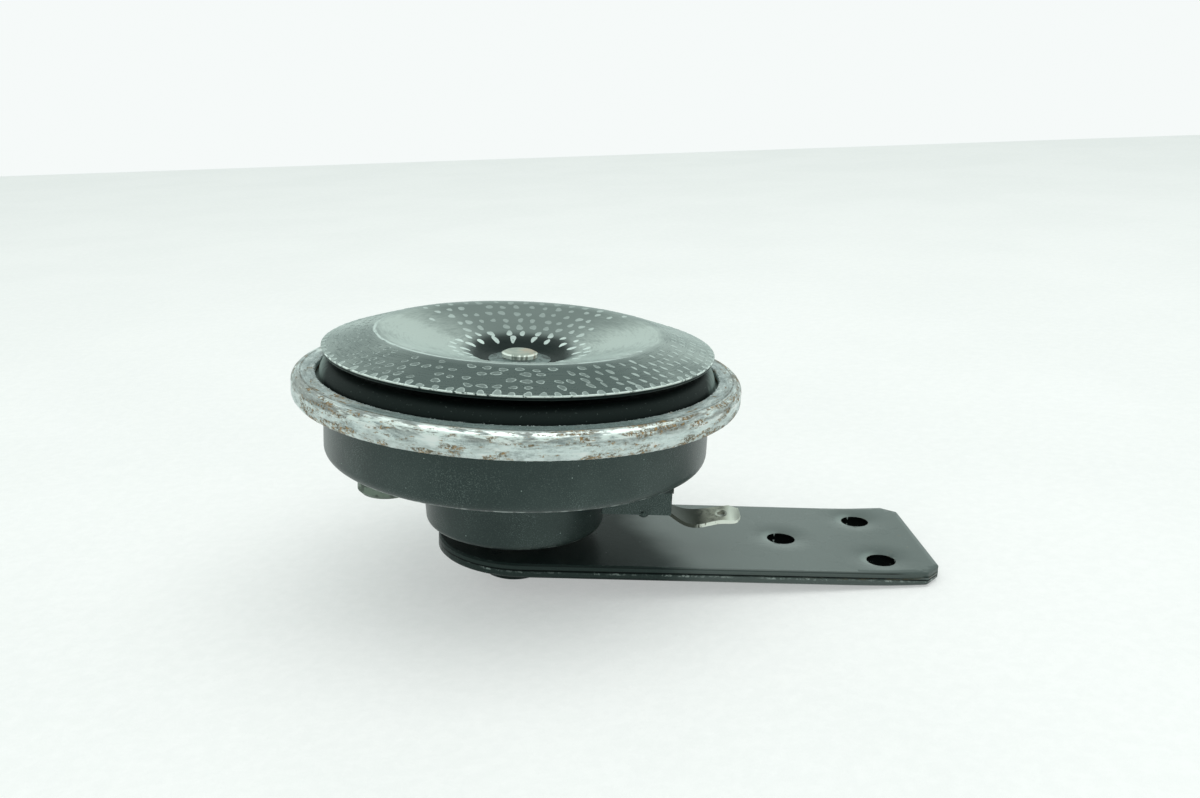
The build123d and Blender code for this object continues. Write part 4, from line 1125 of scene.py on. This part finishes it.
class HORN_OT_stage(bpy.types.Operator):
    """Floor, even light, soft box and camera"""

    bl_idname = "horn.stage"
    bl_label = "Stage"

    def execute(self, context):
        settings = context.scene.horn_stage
        bm = bmesh.new()
        bmesh.ops.create_grid(bm, x_segments=8, y_segments=8, size=FLOOR_REACH)
        # The horn stands on its nut and tips until the bracket's lower leaf touches the floor.
        leaf = bpy.data.objects["worn_bracket_lower_leaf"].data.vertices
        lean = min(math.atan2(v.co.z, v.co.x - NUT_FLAT) for v in leaf if v.co.x > 2 * NUT_FLAT)
        lean = Matrix.Translation((NUT_FLAT, 0.0, 0.0)) @ Matrix.Rotation(-lean, 4, "Y")
        bmesh.ops.transform(bm, matrix=lean, verts=bm.verts)
        floor = add_object("floor", new_mesh("floor", bm, floor_finish(settings)))

        world = bpy.data.worlds.new("Studio")
        context.scene.world = world
        sky = Shader(world)
        seen = seen_rays(sky)
        strength = seen + (1.0 - seen) * settings.ambient
        view = sky.node("ShaderNodeLightPath", output="Is Camera Ray")
        tone = sky.mix(view, settings.light, settings.backdrop)
        sky.finished(sky.node("ShaderNodeBackground", None, {"Color": tone, "Strength": strength}))

        lamp = bpy.data.lights.new("overhead", "AREA")
        lamp.shape = "RECTANGLE"
        lamp.size, lamp.size_y = SOFT_BOX_SIZE
        lamp.energy = settings.overhead
        add_object("overhead", lamp).location = SOFT_BOX_PLACE

        camera = bpy.data.cameras.new("camera")
        camera.lens = settings.lens
        camera.sensor_width = SENSOR_WIDTH
        camera.clip_start, camera.clip_end = CLIP
        eye = add_object("camera", camera)
        turn = Matrix.Rotation(-settings.heading, 4, "Z")
        turn = turn @ Matrix.Rotation(math.pi / 2 - settings.pitch, 4, "X")
        turn = turn @ Matrix.Rotation(settings.roll, 4, "Z")
        aim = Matrix.Translation((settings.aim_along, settings.aim_across, settings.aim_height))
        eye.matrix_world = aim @ turn @ Matrix.Translation((0.0, 0.0, settings.distance))
        context.scene.camera = eye
        context.scene.view_settings.view_transform = "Standard"
        return {"FINISHED"}


class HORN_OT_inside(bpy.types.Operator):
    """Finish of each solid by its slot, magnet, breaker and fasteners among them"""

    bl_idname = "horn.inside"
    bl_label = "Magnet, breaker and fasteners"

    def execute(self, context):
        finishes = inner_finishes(context.scene.horn_colours)
        for node, slot in SLOTS.items():
            if slot in finishes:
                refinish(node, finishes[slot])
        return {"FINISHED"}


class HORN_OT_case(bpy.types.Operator):
    """Drawn case and the painted diaphragm over it"""

    bl_idname = "horn.case"
    bl_label = "Case and diaphragm"

    def execute(self, context):
        colours = context.scene.horn_colours
        refinish("rear_case", case_finish(colours))
        flexing_diaphragm(diaphragm_finish(colours))
        return {"FINISHED"}


class HORN_OT_disc(bpy.types.Operator):
    """Resonator disc with its rows of worn dimples"""

    bl_idname = "horn.disc"
    bl_label = "Resonator disc"

    def execute(self, context):
        colours = context.scene.horn_colours
        refinish("resonator_disc", disc_finish(colours))
        disc_marks(context.scene.horn_marks, mark_finish(colours))
        return {"FINISHED"}


class HORN_OT_rivet(bpy.types.Operator):
    """Centre rivet on its conical washer"""

    bl_idname = "horn.rivet"
    bl_label = "Centre rivet"

    def execute(self, context):
        refinish("centre_rivet", rivet_finish())
        return {"FINISHED"}


class HORN_OT_clamp_ring(bpy.types.Operator):
    """Rolled clamp ring and the crumbs along its mouth"""

    bl_idname = "horn.clamp_ring"
    bl_label = "Clamp ring"

    def execute(self, context):
        colours = context.scene.horn_colours
        worn_ring(context.scene.horn_ring, ring_finish(colours))
        ring_grit(context.scene.horn_ring, grit_finish(colours))
        return {"FINISHED"}


class HORN_OT_bracket(bpy.types.Operator):
    """Both leaves of the bracket, pressed in round their bolt holes"""

    bl_idname = "horn.bracket"
    bl_label = "Bracket"

    def execute(self, context):
        material = bracket_finish(context.scene.horn_colours)
        refinish("mounting_nut", material)
        for node in ("bracket_upper_leaf", "bracket_lower_leaf"):
            dished_leaf(node, context.scene.horn_bracket, material)
        return {"FINISHED"}


class HORN_OT_terminal(bpy.types.Operator):
    """Blade terminal and the pip on its block"""

    bl_idname = "horn.terminal"
    bl_label = "Blade terminal"

    def execute(self, context):
        refinish("spade_terminal", blade_finish(context.scene.horn_colours))
        moulding_pip(NODES["terminal_block"].active_material)
        return {"FINISHED"}


OPERATORS = (
    HORN_OT_inside,
    HORN_OT_case,
    HORN_OT_disc,
    HORN_OT_rivet,
    HORN_OT_clamp_ring,
    HORN_OT_bracket,
    HORN_OT_terminal,
    HORN_OT_stage,
)


class HORN_PT_dressing(bpy.types.Panel):
    """Lists the pieces and their settings"""

    bl_idname = "HORN_PT_dressing"
    bl_label = "Horn"
    bl_space_type = "VIEW_3D"
    bl_region_type = "UI"
    bl_category = "Horn"

    def draw(self, context):
        for operator in OPERATORS:
            self.layout.operator(operator.bl_idname)
        for name, group in SETTINGS.items():
            box = self.layout.box()
            box.label(text=group.bl_rna.description)
            for key in group.__annotations__:
                box.prop(getattr(context.scene, name), key)


CLASSES = (*SETTINGS.values(), *OPERATORS, HORN_PT_dressing)


def register():
    for made in CLASSES:
        bpy.utils.register_class(made)
    for name, group in SETTINGS.items():
        setattr(bpy.types.Scene, name, PointerProperty(type=group))


def unregister():
    for name in SETTINGS:
        delattr(bpy.types.Scene, name)
    for made in reversed(CLASSES):
        bpy.utils.unregister_class(made)


def main():
    """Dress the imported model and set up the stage."""
    register()
    bpy.ops.horn.inside()
    bpy.ops.horn.case()
    bpy.ops.horn.disc()
    bpy.ops.horn.rivet()
    bpy.ops.horn.clamp_ring()
    bpy.ops.horn.bracket()
    bpy.ops.horn.terminal()
    bpy.ops.horn.stage()


if __name__ == "__main__":
    main()
